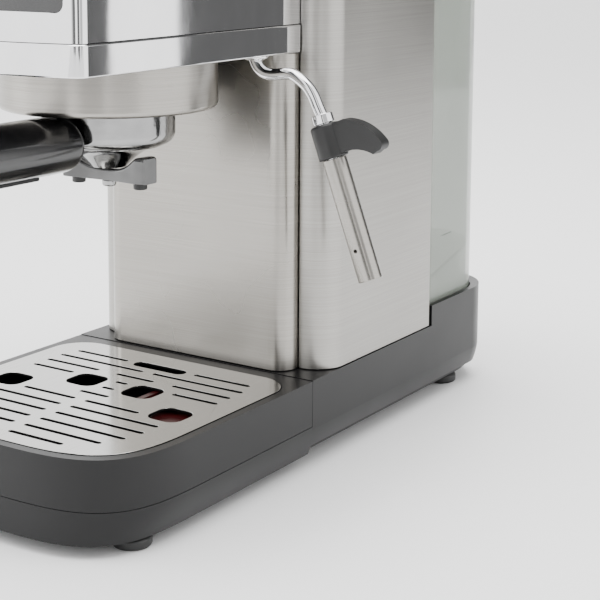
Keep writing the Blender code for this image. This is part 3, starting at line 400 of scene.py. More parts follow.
def smoothPath(points, steps=6):
    # a Catmull-Rom curve through every point
    ends = [points[0]] + list(points) + [points[-1]]
    path = []
    for a, b, c, d in zip(ends, ends[1:], ends[2:], ends[3:]):
        for step in range(steps):
            t = step / steps
            path.append(tuple(0.5 * (2 * q + (r - p) * t + (2 * p - 5 * q + 4 * r - s) * t ** 2
                                     + (3 * q - p - 3 * r + s) * t ** 3)
                              for p, q, r, s in zip(a, b, c, d)))
    return path + [tuple(points[-1])]


def meshOf(shape, name="shape"):
    mesh = bpy.data.meshes.new(name)
    bmesh.ops.remove_doubles(shape, verts=shape.verts, dist=0.000002)
    bmesh.ops.recalc_face_normals(shape, faces=shape.faces)
    shape.to_mesh(mesh)
    shape.free()
    return mesh


def finished(holder):
    # the holder's mesh with its modifiers worked in; the holder itself goes
    bpy.context.view_layer.update()
    graph = bpy.context.evaluated_depsgraph_get()
    mesh = bpy.data.meshes.new_from_object(holder.evaluated_get(graph), depsgraph=graph)
    bpy.data.objects.remove(holder, do_unlink=True)
    return mesh


def welded(mesh):
    shape = bmesh.new()
    shape.from_mesh(mesh)
    return meshOf(shape)


def holderOf(data):
    holder = bpy.data.objects.new("holder", data)
    bpy.context.scene.collection.objects.link(holder)
    return holder


def slab(outlines, bottom, top):
    # a flat plate between two heights; the outlines after the first are holes
    curve = bpy.data.curves.new("outline", "CURVE")
    curve.dimensions = "2D"
    curve.fill_mode = "BOTH"
    curve.extrude = (top - bottom) / 2
    for outline in outlines:
        spline = curve.splines.new("POLY")
        spline.points.add(len(outline) - 1)
        for point, (x, y) in zip(spline.points, outline):
            point.co = (x, y, 0, 1)
        spline.use_cyclic_u = True
    holder = holderOf(curve)
    shape = bmesh.new()
    shape.from_mesh(finished(holder))
    bmesh.ops.translate(shape, verts=shape.verts, vec=(0, 0, (bottom + top) / 2))
    return meshOf(shape)


def block(size, centre=(0, 0, 0)):
    shape = bmesh.new()
    bmesh.ops.create_cube(shape, size=1.0, matrix=Matrix.Translation(centre) @ Matrix.Diagonal((*size, 1)))
    return meshOf(shape)


def lofted(rings):
    # a closed skin through loops that all have the same count of points
    shape = bmesh.new()
    loops = [[shape.verts.new(point) for point in ring] for ring in rings]
    count = len(loops[0])
    for before, after in zip(loops, loops[1:]):
        for index in range(count):
            following = (index + 1) % count
            shape.faces.new((before[index], before[following], after[following], after[index]))
    shape.faces.new(list(reversed(loops[0])))
    shape.faces.new(loops[-1])
    return meshOf(shape)


def rod(radius, bottom, top, steps=40):
    shape = bmesh.new()
    bmesh.ops.create_cone(shape, cap_ends=True, segments=steps, radius1=radius, radius2=radius,
                          depth=top - bottom, matrix=Matrix.Translation((0, 0, (bottom + top) / 2)))
    return meshOf(shape)


def turned(profile, steps=72, closed=False):
    shape = bmesh.new()
    verts = [shape.verts.new((radius, 0, height)) for radius, height in profile]
    rims = [shape.edges.new(pair) for pair in zip(verts, verts[1:])]
    if closed:
        rims.append(shape.edges.new((verts[-1], verts[0])))
    bmesh.ops.spin(shape, geom=verts + rims, cent=(0, 0, 0), axis=(0, 0, 1), angle=2 * pi, steps=steps,
                   use_merge=True)
    bmesh.ops.remove_doubles(shape, verts=shape.verts, dist=0.000002)
    bmesh.ops.dissolve_degenerate(shape, dist=0.000001, edges=shape.edges)
    return meshOf(shape)


def sweep(points, radius, resolution=10):
    curve = bpy.data.curves.new("route", "CURVE")
    curve.dimensions = "3D"
    curve.bevel_depth = radius
    curve.bevel_resolution = resolution
    curve.use_fill_caps = True
    spline = curve.splines.new("POLY")
    spline.points.add(len(points) - 1)
    for point, place in zip(spline.points, points):
        point.co = (*place, 1)
    return welded(finished(holderOf(curve)))


def moved(mesh, place=(0, 0, 0), turn=(0, 0, 0)):
    rotation = Matrix.Rotation(turn[2], 4, "Z") @ Matrix.Rotation(turn[1], 4, "Y")
    mesh.transform(Matrix.Translation(place) @ rotation @ Matrix.Rotation(turn[0], 4, "X"))
    return mesh


def carved(mesh, *steps):
    # each step is an operation's name and the mesh it is done with
    holder = holderOf(mesh)
    helpers = []
    for operation, tool in steps:
        helper = holderOf(tool)
        helpers.append(helper)
        change = holder.modifiers.new(operation, "BOOLEAN")
        change.operation = operation
        change.solver = "EXACT"
        change.object = helper
    result = finished(holder)
    for helper in helpers:
        bpy.data.objects.remove(helper, do_unlink=True)
    return welded(result)


def cut(mesh, *tools):
    return carved(mesh, *[("DIFFERENCE", tool) for tool in tools])


def nodeMesh(name):
    # a welded copy of a CAD node, with its flat faces made whole again
    shape = bmesh.new()
    shape.from_mesh(frame["nodes"][name].data)
    bmesh.ops.remove_doubles(shape, verts=shape.verts, dist=0.00001)
    bmesh.ops.dissolve_limit(shape, angle_limit=radians(1), verts=shape.verts, edges=shape.edges)
    mesh = bpy.data.meshes.new(name)
    shape.to_mesh(mesh)
    shape.free()
    mesh.transform(Matrix.Translation(-groupAxis))
    return mesh


def addPiece(name, mesh, nodes, edge=0.0, segments=2, sharp=32, finish=None, body=None, slot=None):
    # softens the edges, lays the finish on and hands the piece to its body
    mesh.name = name
    mesh.transform(Matrix.Translation(groupAxis))
    mesh.shade_smooth()
    mesh.set_sharp_from_angle(angle=radians(sharp))
    holder = holderOf(mesh)
    if edge:
        bevel = holder.modifiers.new("edge", "BEVEL")
        bevel.width = edge
        bevel.segments = segments
        bevel.limit_method = "ANGLE"
        bevel.angle_limit = radians(28)
        bevel.use_clamp_overlap = True
        bevel.harden_normals = False
    weight = holder.modifiers.new("normals", "WEIGHTED_NORMAL")
    weight.keep_sharp = True
    result = finished(holder)
    result.name = name
    slot = slot or slotOfNode[nodes[0]]
    if len(result.materials) < 2:
        result.materials.clear()
        result.materials.append(finish or finishes[slot])
    piece = bpy.data.objects.new(name, result)
    bpy.context.scene.collection.objects.link(piece)
    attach(piece, body or frame["nodes"][nodes[0]]["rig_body"])
    if nodes and body is None:
        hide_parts(*nodes)
    return piece


# Geometry Nodes helpers

def newTree(name, sizes):
    tree = bpy.data.node_groups.new(name, "GeometryNodeTree")
    tree.interface.new_socket("Geometry", in_out="INPUT", socket_type="NodeSocketGeometry")
    tree.interface.new_socket("Geometry", in_out="OUTPUT", socket_type="NodeSocketGeometry")
    for label, value in sizes.items():
        socket = tree.interface.new_socket(label, in_out="INPUT", socket_type="NodeSocketFloat")
        socket.default_value = value
    entry = tree.nodes.new("NodeGroupInput")
    leave = tree.nodes.new("NodeGroupOutput")
    return tree, entry, leave


def runTree(mesh, tree, sizes):
    holder = holderOf(mesh)
    step = holder.modifiers.new(tree.name, "NODES")
    step.node_group = tree
    for item in tree.interface.items_tree:
        if item.in_out == "INPUT" and item.name in sizes:
            step[item.identifier] = sizes[item.name]
    return finished(holder)


def slottedTree(finish):
    # fills the outlines it is given, cuts a round-ended slot at each loose point and makes it a sheet
    tree, entry, leave = newTree("slottedSheet", {"Thickness": 0.001})
    length = treeNode(tree, "GeometryNodeInputNamedAttribute", {"Name": "slotLength"}, data_type="FLOAT")
    width = treeNode(tree, "GeometryNodeInputNamedAttribute", {"Name": "slotWidth"}, data_type="FLOAT")
    isSlot = treeNode(tree, "FunctionNodeCompare", {"A": length.outputs["Attribute"], "B": 0.0},
                      data_type="FLOAT", operation="GREATER_THAN")
    split = treeNode(tree, "GeometryNodeSeparateGeometry", {"Geometry": entry, "Selection": isSlot},
                     domain="POINT")
    rims = treeNode(tree, "GeometryNodeMeshToCurve", {"Mesh": split.outputs["Inverted"]})
    spots = treeNode(tree, "GeometryNodeMeshToPoints", {"Mesh": split.outputs["Selection"]})
    stretch = treeNode(tree, "ShaderNodeCombineXYZ", {"X": length.outputs["Attribute"],
                                                      "Y": width.outputs["Attribute"], "Z": 1.0})
    square = treeNode(tree, "GeometryNodeCurvePrimitiveQuadrilateral", {"Width": 1.0, "Height": 1.0})
    placed = treeNode(tree, "GeometryNodeInstanceOnPoints",
                      {"Points": spots, "Instance": square, "Scale": stretch})
    loose = treeNode(tree, "GeometryNodeRealizeInstances", {"Geometry": placed})
    half = treeNode(tree, "ShaderNodeMath", {0: width.outputs["Attribute"], 1: 0.499}, operation="MULTIPLY")
    ends = treeNode(tree, "GeometryNodeFilletCurve",
                    {"Curve": loose, "Radius": half, "Limit Radius": True, "Count": 6}, mode="POLY")
    together = treeNode(tree, "GeometryNodeJoinGeometry")
    tree.links.new(rims.outputs["Curve"], together.inputs["Geometry"])
    tree.links.new(ends.outputs["Curve"], together.inputs["Geometry"])
    sheet = treeNode(tree, "GeometryNodeFillCurve", {"Curve": together}, mode="TRIANGLES")
    rise = treeNode(tree, "ShaderNodeCombineXYZ", {"Z": entry.outputs["Thickness"]})
    thick = treeNode(tree, "GeometryNodeExtrudeMesh",
                     {"Mesh": sheet, "Offset": rise, "Offset Scale": 1.0, "Individual": False},
                     mode="FACES")
    flipped = treeNode(tree, "GeometryNodeFlipFaces", {"Mesh": sheet})
    under = treeNode(tree, "GeometryNodeSetMaterial", {"Geometry": flipped, "Material": finish})
    painted = treeNode(tree, "GeometryNodeSetMaterial", {"Geometry": thick, "Material": finish})
    # every side wall of the sheet gets slotShade, painted shade
    shaded = treeNode(tree, "GeometryNodeSetMaterial",
                      {"Geometry": painted, "Selection": thick.outputs["Side"], "Material": slotShade})
    whole = treeNode(tree, "GeometryNodeJoinGeometry")
    tree.links.new(shaded.outputs["Geometry"], whole.inputs["Geometry"])
    tree.links.new(under.outputs["Geometry"], whole.inputs["Geometry"])
    weld = treeNode(tree, "GeometryNodeMergeByDistance", {"Geometry": whole, "Distance": 0.000002})
    real = treeNode(tree, "GeometryNodeRealizeInstances", {"Geometry": weld})
    tree.links.new(real.outputs["Geometry"], leave.inputs["Geometry"])
    return tree


def sheetPlan(outlines, slots):
    # outlines become closed edge loops, and each slot (x, y, length, width) a loose point
    mesh = bpy.data.meshes.new("plan")
    verts, edges, lengths, widths = [], [], [], []
    for outline in outlines:
        first = len(verts)
        verts += [(x, y, 0) for x, y in outline]
        edges += [(first + index, first + (index + 1) % len(outline)) for index in range(len(outline))]
        lengths += [0.0] * len(outline)
        widths += [0.0] * len(outline)
    for x, y, length, width in slots:
        verts.append((x, y, 0))
        lengths.append(length)
        widths.append(width)
    mesh.from_pydata(verts, edges, [])
    mesh.attributes.new("slotLength", "FLOAT", "POINT").data.foreach_set("value", lengths)
    mesh.attributes.new("slotWidth", "FLOAT", "POINT").data.foreach_set("value", widths)
    return mesh


slottedSheet = slottedTree(finishes["satin_steel"])


def slottedMesh(outlines, slots, bottom, thickness):
    mesh = runTree(sheetPlan(outlines, slots), slottedSheet, {"Thickness": thickness})
    return moved(mesh, (0, 0, bottom))


def scatterTree(finish):
    # stands a copy of the given piece on every point, turned to the point's own angle
    tree, entry, leave = newTree("scatteredCopies", {"Size": 1.0})
    tree.interface.new_socket("Copy", in_out="INPUT", socket_type="NodeSocketObject")
    source = treeNode(tree, "GeometryNodeObjectInfo", {"Object": entry.outputs["Copy"]})
    angle = treeNode(tree, "GeometryNodeInputNamedAttribute", {"Name": "turn"}, data_type="FLOAT_VECTOR")
    placed = treeNode(tree, "GeometryNodeInstanceOnPoints",
                      {"Points": entry.outputs["Geometry"], "Instance": source.outputs["Geometry"],
                       "Rotation": angle.outputs["Attribute"], "Scale": entry.outputs["Size"]})
    real = treeNode(tree, "GeometryNodeRealizeInstances", {"Geometry": placed})
    paint = treeNode(tree, "GeometryNodeSetMaterial", {"Geometry": real, "Material": finish})
    tree.links.new(paint.outputs["Geometry"], leave.inputs["Geometry"])
    return tree


def scattered(model, spots, finish):
    # spots are (place, turn) pairs
    mesh = bpy.data.meshes.new("spots")
    mesh.from_pydata([place for place, turn in spots], [], [])
    flat = [angle for place, turn in spots for angle in turn]
    mesh.attributes.new("turn", "FLOAT_VECTOR", "POINT").data.foreach_set("vector", flat)
    copy = holderOf(model)
    result = runTree(mesh, scatterTree(finish), {"Copy": copy})
    bpy.data.objects.remove(copy, do_unlink=True)
    return result


# base, drip tray and plate

baseShape = {"noseStart": -0.020, "squareness": 3.8, "rearCorner": 0.032, "wall": 0.0025,
             "collarTop": 0.0570,
             "edge": 0.0009, "taper": 0.0045}
baseLow, baseHigh = nodeBox("base_frame")
trayLow, trayHigh = nodeBox("drip_tray")
plateHigh = nodeBox("drip_plate")[1]
deck = plateHigh.z
gap = 0.0003


def nosePoints(inset, steps=44):
    depth = baseShape["noseStart"] - trayLow.y - inset
    power = 2 / baseShape["squareness"]
    points = []
    for step in range(1, steps + 1):
        angle = pi / 2 * (1 - step / steps)
        points.append(((baseHigh.x - inset) * abs(cos(angle)) ** power,
                       baseShape["noseStart"] - depth * abs(sin(angle)) ** power))
    return points


def baseOutline(inset=0.0, rear=None, corner=None):
    side = baseHigh.x - inset
    if rear is None:
        rear, corner = baseHigh.y - inset, baseShape["rearCorner"] - inset
    right = nosePoints(inset)
    right += arc(side - corner, rear - corner, corner, 0, 90, 16) if corner else [(side, rear)]
    return mirrored(right)


def tankOutline(inset=0.0, front=None):
    low, high = nodeBox("water_tank")
    front = low.y if front is None else front
    corner = 0.026
    right = arc(high.x - inset - 0.004, front + inset + 0.004, 0.004, -90, 0, 6)
    right += arc(high.x - corner, high.y - corner, corner - inset, 0, 90, 18)
    return mirrored(right)


def makeBase():
    wall = baseShape["wall"]
    side, rear, corner = baseHigh.x, baseHigh.y, baseShape["rearCorner"]
    front = trayHigh.y + gap
    back = arc(side - corner, rear - corner, corner, 0, 90, 16)
    taper = baseShape["taper"]
    levels = 8
    rings = []
    for level in range(levels + 1):
        share = level / levels
        drawnIn = taper * (1 - share) ** 1.6
        narrowing = 1 - drawnIn / baseHigh.x
        height = baseLow.z + (trayLow.z - gap - baseLow.z) * share
        rings.append([(x * narrowing, y, height) for x, y in baseOutline()])
    pan = lofted(rings)
    rearBlock = slab([mirrored([(side, front)] + back)], trayLow.z - 0.0015, deck)
    collar = slab([mirrored([(side, nodeBox("side_panel_right")[1].y + 0.002)] + back)], 0.030,
                  baseShape["collarTop"])
    seat = slab([tankOutline(-0.0008, nodeBox("water_tank")[0].y - 0.02)], 0.0480, 0.08)
    panHollow = slab([baseOutline(wall + taper)], 0.0, trayLow.z - wall)
    rearHollow = slab([mirrored([(side - wall, front + wall)]
                                + arc(side - corner, rear - corner, corner - wall, 0, 90, 16))],
                      0.0, deck - wall)
    opening = slab([roundedBox(0.045, 0.040, 0.006, 0, 0.135)], 0.03, 0.06)
    outlet = slab([circle(0.009, 24, 0, 0.232)], 0.03, 0.06)
    gland = moved(rod(0.0063, -0.02, 0.02), (-0.030, rear, 0.028), (pi / 2, 0, 0))
    taken = [("DIFFERENCE", tool) for tool in (seat, panHollow, rearHollow, opening, outlet, gland)]
    mesh = carved(pan, ("UNION", rearBlock), ("UNION", collar), *taken)
    addPiece("baseShell", mesh, ["base_frame"], baseShape["edge"], 3)


def makeTray():
    wall = 0.0024
    recess = baseHigh.x - plateHigh.x - 0.0005
    mesh = cut(slab([baseOutline(0, trayHigh.y, 0)], trayLow.z, trayHigh.z),
               slab([baseOutline(wall, trayHigh.y - wall, 0.006)], trayLow.z + wall, 0.0415),
               slab([baseOutline(recess + 0.0045, plateHigh.y - 0.004, 0.015)], 0.040, 0.05),
               slab([baseOutline(recess, plateHigh.y + 0.0005, 0.0187)], 0.0440, 0.05))
    addPiece("tray", mesh, ["drip_tray"], 0.0006, 3)


plateShape = {"pitch": 0.0104, "slot": 0.0026, "fingerReach": 0.0160, "rows": 12, "reach": 0.0579,
              "bridge": 0.0033, "firstRow": 0.039, "hole": 0.0178, "holeCorner": 0.0055,
              "thickness": 0.0012}
holeCentres = [(-0.0175, 0.0021), (0.0175, 0.0021), (-0.0495, -0.0175), (0.0495, -0.0175)]
rowTrims = {0: 0.0030, 7: 0.0030, 8: 0.0030, 9: 0.0050, 10: 0.0101, 11: 0.0230}


def clearBeside(rowY, hole):
    # half of the length that a slot row leaves free beside a hole
    halfX, halfY, corner = 0.014, 0.0163, 0.010
    rise = abs(rowY - hole[1])
    if rise >= halfY:
        return 0.0
    over = rise - (halfY - corner)
    return halfX if over <= 0 else halfX - corner + sqrt(corner ** 2 - over ** 2)


def rowSlots(row):
    rowY = plateShape["firstRow"] - plateShape["pitch"] * row
    reach = plateShape["reach"] - rowTrims.get(row, 0.0)
    kept = [(hole[0] - clearBeside(rowY, hole), hole[0] + clearBeside(rowY, hole))
            for hole in holeCentres if clearBeside(rowY, hole) > 0]
    if row == 0:
        kept = [(-plateShape["fingerReach"] - 0.0055, plateShape["fingerReach"] + 0.0055)]
    elif clearBeside(rowY, holeCentres[0]) == 0:
        kept.append((-plateShape["bridge"], plateShape["bridge"]))
    slots, start = [], -reach
    for low, high in sorted(kept) + [(reach, reach)]:
        length = min(low, reach) - start
        middle = start + length / 2
        if length > 0.012 or (abs(middle) < 0.002 and length > 0.004):
            slots.append((middle, rowY, length, plateShape["slot"]))
        start = max(start, high)
    return slots


def makeDripPlate():
    corner = 0.0182
    outlines = [baseOutline(baseHigh.x - plateHigh.x, plateHigh.y, corner)]
    half = plateShape["hole"] / 2
    outlines += [roundedBox(half, half, plateShape["holeCorner"], x, y) for x, y in holeCentres]
    slots = [slot for row in range(plateShape["rows"]) for slot in rowSlots(row)]
    slots.append((0, plateShape["firstRow"] - 0.0008, 2 * plateShape["fingerReach"], 0.0075))
    mesh = slottedMesh(outlines, slots, plateHigh.z - plateShape["thickness"], plateShape["thickness"])
    addPiece("dripPlate", mesh, ["drip_plate"], 0.00022, 2, 40)


def makeFloat():
    low, high = nodeBox("tray_float")
    middle = (low + high) / 2
    reach = (high - low) / 2
    outline = roundedBox(reach.x, reach.y, 0.006, middle.x, middle.y)
    well = roundedBox(reach.x - 0.003, reach.y - 0.003, 0.004, middle.x, middle.y)
    mesh = cut(slab([outline], low.z, high.z), slab([well], high.z - 0.0012, high.z + 0.01))
    addPiece("floatBody", mesh, ["tray_float"], 0.0010, 3)


makeBase()
makeTray()
makeDripPlate()
makeFloat()
print("base, tray and plate made")


# column, panels and covers

sheetShape = {"thickness": 0.0012, "columnCorner": 0.0104, "housingCorner": 0.0156}


def bentSheet(path, bottom, top, thickness):
    # an upright sheet whose outer face follows the path
    shape = bmesh.new()
    verts = [shape.verts.new((x, y, bottom)) for x, y in path]
    rims = [shape.edges.new(pair) for pair in zip(verts, verts[1:])]
    raised = bmesh.ops.extrude_edge_only(shape, edges=rims)
    upper = [item for item in raised["geom"] if isinstance(item, bmesh.types.BMVert)]
    bmesh.ops.translate(shape, verts=upper, vec=(0, 0, top - bottom))
    mesh = bpy.data.meshes.new("sheet")
    shape.to_mesh(mesh)
    shape.free()
    holder = holderOf(mesh)
    wall = holder.modifiers.new("wall", "SOLIDIFY")
    wall.thickness = thickness
    wall.offset = 1
    wall.use_even_offset = True
    return welded(finished(holder))


def makeColumn():
    low, high = nodeBox("front_column")
    corner = sheetShape["columnCorner"]
    right = [(high.x, high.y)] + arc(high.x - corner, low.y + corner, corner, 0, -90, 24)
    path = [(-x, y) for x, y in right] + list(reversed(right))
    mesh = bentSheet(path, low.z, high.z, sheetShape["thickness"])
    addPiece("columnSheet", mesh, ["front_column"], 0.0003)


def makeSidePanels():
    corner = sheetShape["housingCorner"]
    for side, sign in (("right", 1), ("left", -1)):
        low, high = nodeBox("side_panel_right")
        innerEdge = (nodeBox("front_column")[1].x + 0.0004, low.y)
        path = [innerEdge] + arc(high.x - corner, low.y + corner, corner, -90, 0, 28) + [(high.x, high.y)]
        if sign < 0:
            path = [(-x, y) for x, y in reversed(path)]
        mesh = bentSheet(path, low.z, high.z, sheetShape["thickness"])
        if sign > 0:
            knobLow, knobHigh = nodeBox("steam_knob")
            centre = (knobLow + knobHigh) / 2
            hole = moved(rod(0.0048, -0.01, 0.01, 32), (high.x, centre.y, centre.z), (0, pi / 2, 0))
            mesh = cut(mesh, hole)
        addPiece(f"sidePanel_{side}", mesh, [f"side_panel_{side}"], 0.0003, finish=sidePanelFinish)


makeColumn()
makeSidePanels()


# head

headShape = {"bulge": 0.0065, "corner": 0.004, "bandWall": 0.0020, "shellInset": 0.0012,
             "shellWall": 0.0025,
             "slope": radians(15.3)}
bandLow, bandHigh = nodeBox("chrome_band")
shellLow, shellHigh = nodeBox("head_shell")


def headPoints(inset, rear, steps=26):
    half = bandHigh.x - inset
    corner = headShape["corner"]
    front = bandLow.y - 0.00003
    points = []
    for step in range(steps):
        x = (half - corner) * (step + 0.5) / steps
        points.append((x, front + inset + headShape["bulge"] * (x / half) ** 2))
    points += arc(half - corner, front + headShape["bulge"] + inset + corner, corner, -80, 0, 8)
    return points + [(half, rear)]


def makeBand():
    right = headPoints(0, bandHigh.y)
    path = [(-x, y) for x, y in reversed(right)] + right
    mesh = bentSheet(path, bandLow.z, bandHigh.z, headShape["bandWall"])
    addPiece("headBand", mesh, ["chrome_band"], 0.0007, 3)


def makeShell():
    wall, slope = headShape["shellWall"], headShape["slope"]
    footY = bandLow.y + 0.0021
    outer = slab([mirrored(headPoints(headShape["shellInset"], shellHigh.y))], shellLow.z, shellHigh.z)
    shaver, innerShaver = [moved(block((0.2, 0.1, 0.2), (0, -0.05, 0.05)), (0, y, z), (-slope, 0, 0))
                           for y, z in ((footY, 0.2235), (footY + 0.003, 0.2225))]
    inside = mirrored(headPoints(headShape["shellInset"] + wall, shellHigh.y + 0.01))
    hollow = cut(slab([inside], shellLow.z - 0.01, shellHigh.z - wall), innerShaver)
    window = slab([roundedBox(0.0500, 0.0235, 0.004)], -0.010, 0.010)
    toPanel(window)
    mesh = cut(outer, shaver, hollow, window)
    addPiece("headShell", mesh, ["head_shell"], 0.0008, 3)


def toPanel(mesh):
    # from the control panel's own plane to the sloped front
    slope = headShape["slope"]
    centre = (0, bandLow.y + 0.0021 + 0.0335 * sin(slope), 0.2235 + 0.0335 * cos(slope))
    return moved(mesh, centre, (pi / 2 - slope, 0, 0))


panelShape = {"halfWidth": 0.0497, "halfHeight": 0.0232, "corner": 0.0037, "buttonY": -0.002,
              "buttons": {"power": -0.032, "brew": 0.0, "steam": 0.032}, "lamp": (0.016, 0.014)}


def makePanel():
    outline = roundedBox(panelShape["halfWidth"], panelShape["halfHeight"], panelShape["corner"])
    holes = [circle(0.0089, 48, x, panelShape["buttonY"]) for x in panelShape["buttons"].values()]
    holes.append(circle(0.0024, 24, *panelShape["lamp"]))
    sheet = slab([outline] + holes, -0.0035, -0.0008)
    for x in panelShape["buttons"].values():
        groove = turned([(0.0108, 0.001), (0.0114, 0.001), (0.0114, -0.0011), (0.0108, -0.0011)], 64, True)
        sheet = cut(sheet, moved(groove, (x, panelShape["buttonY"], 0)))
    addPiece("controlFace", toPanel(sheet), ["control_panel"], 0.0002)
    for name, x in panelShape["buttons"].items():
        profile = [(0, 0.0014), (0.0046, 0.0015), (0.0050, 0.0018), (0.0076, 0.0018), (0.0085, 0.0009),
                   (0.0085, -0.0060), (0, -0.0060)]
        cap = moved(turned(eased(profile, 0.0004)), (x, panelShape["buttonY"], 0))
        addPiece(f"buttonCap_{name}", toPanel(cap), [f"button_{name}"])
    lens = turned(eased([(0, 0.0002), (0.0014, 0), (0.0021, -0.0007), (0.0021, -0.0045), (0, -0.0045)],
                        0.0003), 32)
    addPiece("lampLens", toPanel(moved(lens, (*panelShape["lamp"], 0))), ["lamp_lens"])


makeBand()
makeShell()
makePanel()


topShape = {"plateBottom": 0.2963, "plateTop": 0.2978, "recess": 0.2960, "slotLength": 0.060,
            "slotWidth": 0.004}


def makeTop():
    low, high = nodeBox("top_cover")
    corner = sheetShape["housingCorner"]
    side = bandHigh.x - 0.0012
    panelLow = nodeBox("side_panel_right")[0]
    right = arc(side - 0.004, low.y + 0.004, 0.004, -90, 0, 8) + [(side, panelLow.y)]
    bend = arc(high.x - corner, panelLow.y + corner, corner, -90, 0, 28)
    right += [(x, y) for x, y in bend if x > side + 0.001]
    right += arc(high.x - 0.003, high.y - 0.003, 0.003, 0, 90, 6)
    mesh = cut(slab([mirrored(right)], low.z, high.z),
               slab([roundedBox(0.0530, 0.1240, 0.010, 0, 0.0560)], topShape["recess"], 0.31),
               slab([roundedBox(0.0530, 0.1220, 0.010, 0, 0.0560)], 0.28, 0.2935))
    addPiece("topCover", mesh, ["top_cover"], 0.0010, 3)
    slots = [(0, y / 1000, topShape["slotLength"], topShape["slotWidth"]) for y in range(-40, 161, 25)]
    outline = roundedBox(0.0527, 0.1237, 0.0097, 0, 0.0560)
    plate = slottedMesh([outline], slots, topShape["plateBottom"],
                        topShape["plateTop"] - topShape["plateBottom"])
    addPiece("cupPlate", plate, ["cup_plate"], 0.0003, 2, 40)


makeTop()
print("column, panels and head made")


# brewing group and portafilter

groupShape = {"wall": 0.0015, "fillet": 0.0028, "mouth": 0.0395}
handleHeight = 0.1695


def makeRing():
    low, high = nodeBox("group_ring")
    outer, wall, fillet = high.x, groupShape["wall"], groupShape["fillet"]
    profile = [(outer, high.z)] + arc(outer - fillet, low.z + fillet, fillet, 0, -90, 8)
    profile += [(groupShape["mouth"], low.z), (groupShape["mouth"], low.z + wall)]
    profile += arc(outer - fillet, low.z + fillet, fillet - wall, -90, 0, 6) + [(outer - wall, high.z)]
    addPiece("groupRing", turned(profile, 128, True), ["group_ring"], 0.0003)


def makeFilterHolder():
    outer, inner, bore, bottom = 0.0319, 0.0291, 0.0028, 0.1658
    neck = smoothPath([(0.0262, 0.1654), (0.0222, 0.1646), (0.0178, 0.1626), (0.0138, 0.1598),
                       (0.0106, 0.1570), (0.0086, 0.1549)], 4)
    profile = [(outer, 0.1918), (outer, 0.1745)]
    profile += arc(outer - 0.006, bottom + 0.0060, 0.006, 0, -84, 10) + neck
    profile += [(bore, 0.1549), (bore, 0.1700), (inner, 0.1700), (inner, 0.1918)]
    steps = []
    for centre in (180, 0):
        ear = arc(0, 0, 0.0374, centre - 18, centre + 18, 12)
        ear += arc(0, 0, 0.0305, centre + 18, centre - 18, 10)
        steps.append(("UNION", slab([ear], 0.1890, 0.1915)))
    stem = moved(rod(0.0075, 0.0300, 0.0345, 48), (0, 0, handleHeight), (pi / 2, 0, 0))
    steps.append(("UNION", stem))
    mesh = carved(turned(profile, 128, True), *steps)
    addPiece("filterHolder", mesh, ["portafilter_body"], 0.0004, 2, 30)


spoutShape = {"bottom": 0.1483, "tipX": 0.019, "upperRound": 0.0016, "lowerRound": 0.0006,
              "saddle": [(0.0, 0.0057, 0.0042), (0.006, 0.0059, 0.0043), (0.010, 0.0066, 0.0046),
                         (0.014, 0.0082, 0.0050), (0.017, 0.0103, 0.0053), (0.0192, 0.0120, 0.0056),
                         (0.0210, 0.0126, 0.0057), (0.0236, 0.0126, 0.0056), (0.0248, 0.0123, 0.0051),
                         (0.0252, 0.0119, 0.0043)]}


def spoutRing(x, height, halfDepth):
    upper, lower = spoutShape["upperRound"], spoutShape["lowerRound"]
    front = arc(-halfDepth + lower, lower, lower, 270, 180, 4)
    front += arc(-halfDepth + upper, height - upper, upper, 180, 90, 8)
    back = [(-y, z) for y, z in reversed(front)]
    return [(x, y, z) for y, z in front + back]


def makeSpout():
    low = spoutShape["bottom"]
    right = smoothPath(spoutShape["saddle"], 5)
    stations = [(-x, height, depth) for x, height, depth in reversed(right[1:])] + right
    mesh = moved(lofted([spoutRing(*station) for station in stations]), (0, 0, low))
    drills = [moved(rod(0.0021, -0.006, 0.0075, 24), (x, 0, low))
              for x in (-spoutShape["tipX"], spoutShape["tipX"])]
    drills.append(moved(rod(0.0014, -0.0195, 0.0195, 20), (0, 0, low + 0.0028), (0, pi / 2, 0)))
    drills.append(rod(0.0022, low + 0.0028, low + 0.03, 24))
    # the spout takes the darker casting copy, painted shade in place of its dark reflections
    addPiece("twinSpout", cut(mesh, *drills), ["twin_spout"], 0, 0, 40, shadedSpoutFinish)
    for side, sign in (("left", -1), ("right", 1)):
        tip = [(0.0033, 0), (0.0033, -0.0024), (0.0029, -0.0028), (0.0019, -0.0028), (0.0019, 0)]
        mesh = moved(turned(eased(tip, 0.0003, True), 40, True), (sign * spoutShape["tipX"], 0, low - gap))
        addPiece(f"spoutTip_{side}", mesh, [f"spout_tip_{side}"])
    screw = turned(eased([(0, 0), (0.0034, 0), (0.0034, -0.0020), (0.0028, -0.0028), (0, -0.0028)],
                         0.0003), 40)
    notch = block((0.010, 0.0009, 0.0012), (0, 0, -0.0028))
    addPiece("spoutScrew", moved(cut(screw, notch), (0, 0, low - gap)), ["spout_screw"])


handleShape = {"start": 0.0348,
               "stations": [(0.0, 0.0135, 0.0104), (0.0006, 0.0152, 0.0119), (0.0024, 0.0163, 0.0128),
                            (0.0060, 0.0166, 0.0131), (0.0252, 0.0166, 0.0133), (0.0552, 0.0162, 0.0133),
                            (0.0852, 0.0155, 0.0131), (0.1102, 0.0146, 0.0127), (0.1222, 0.0130, 0.0114),
                            (0.1282, 0.0098, 0.0086), (0.1302, 0.0055, 0.0048)]}


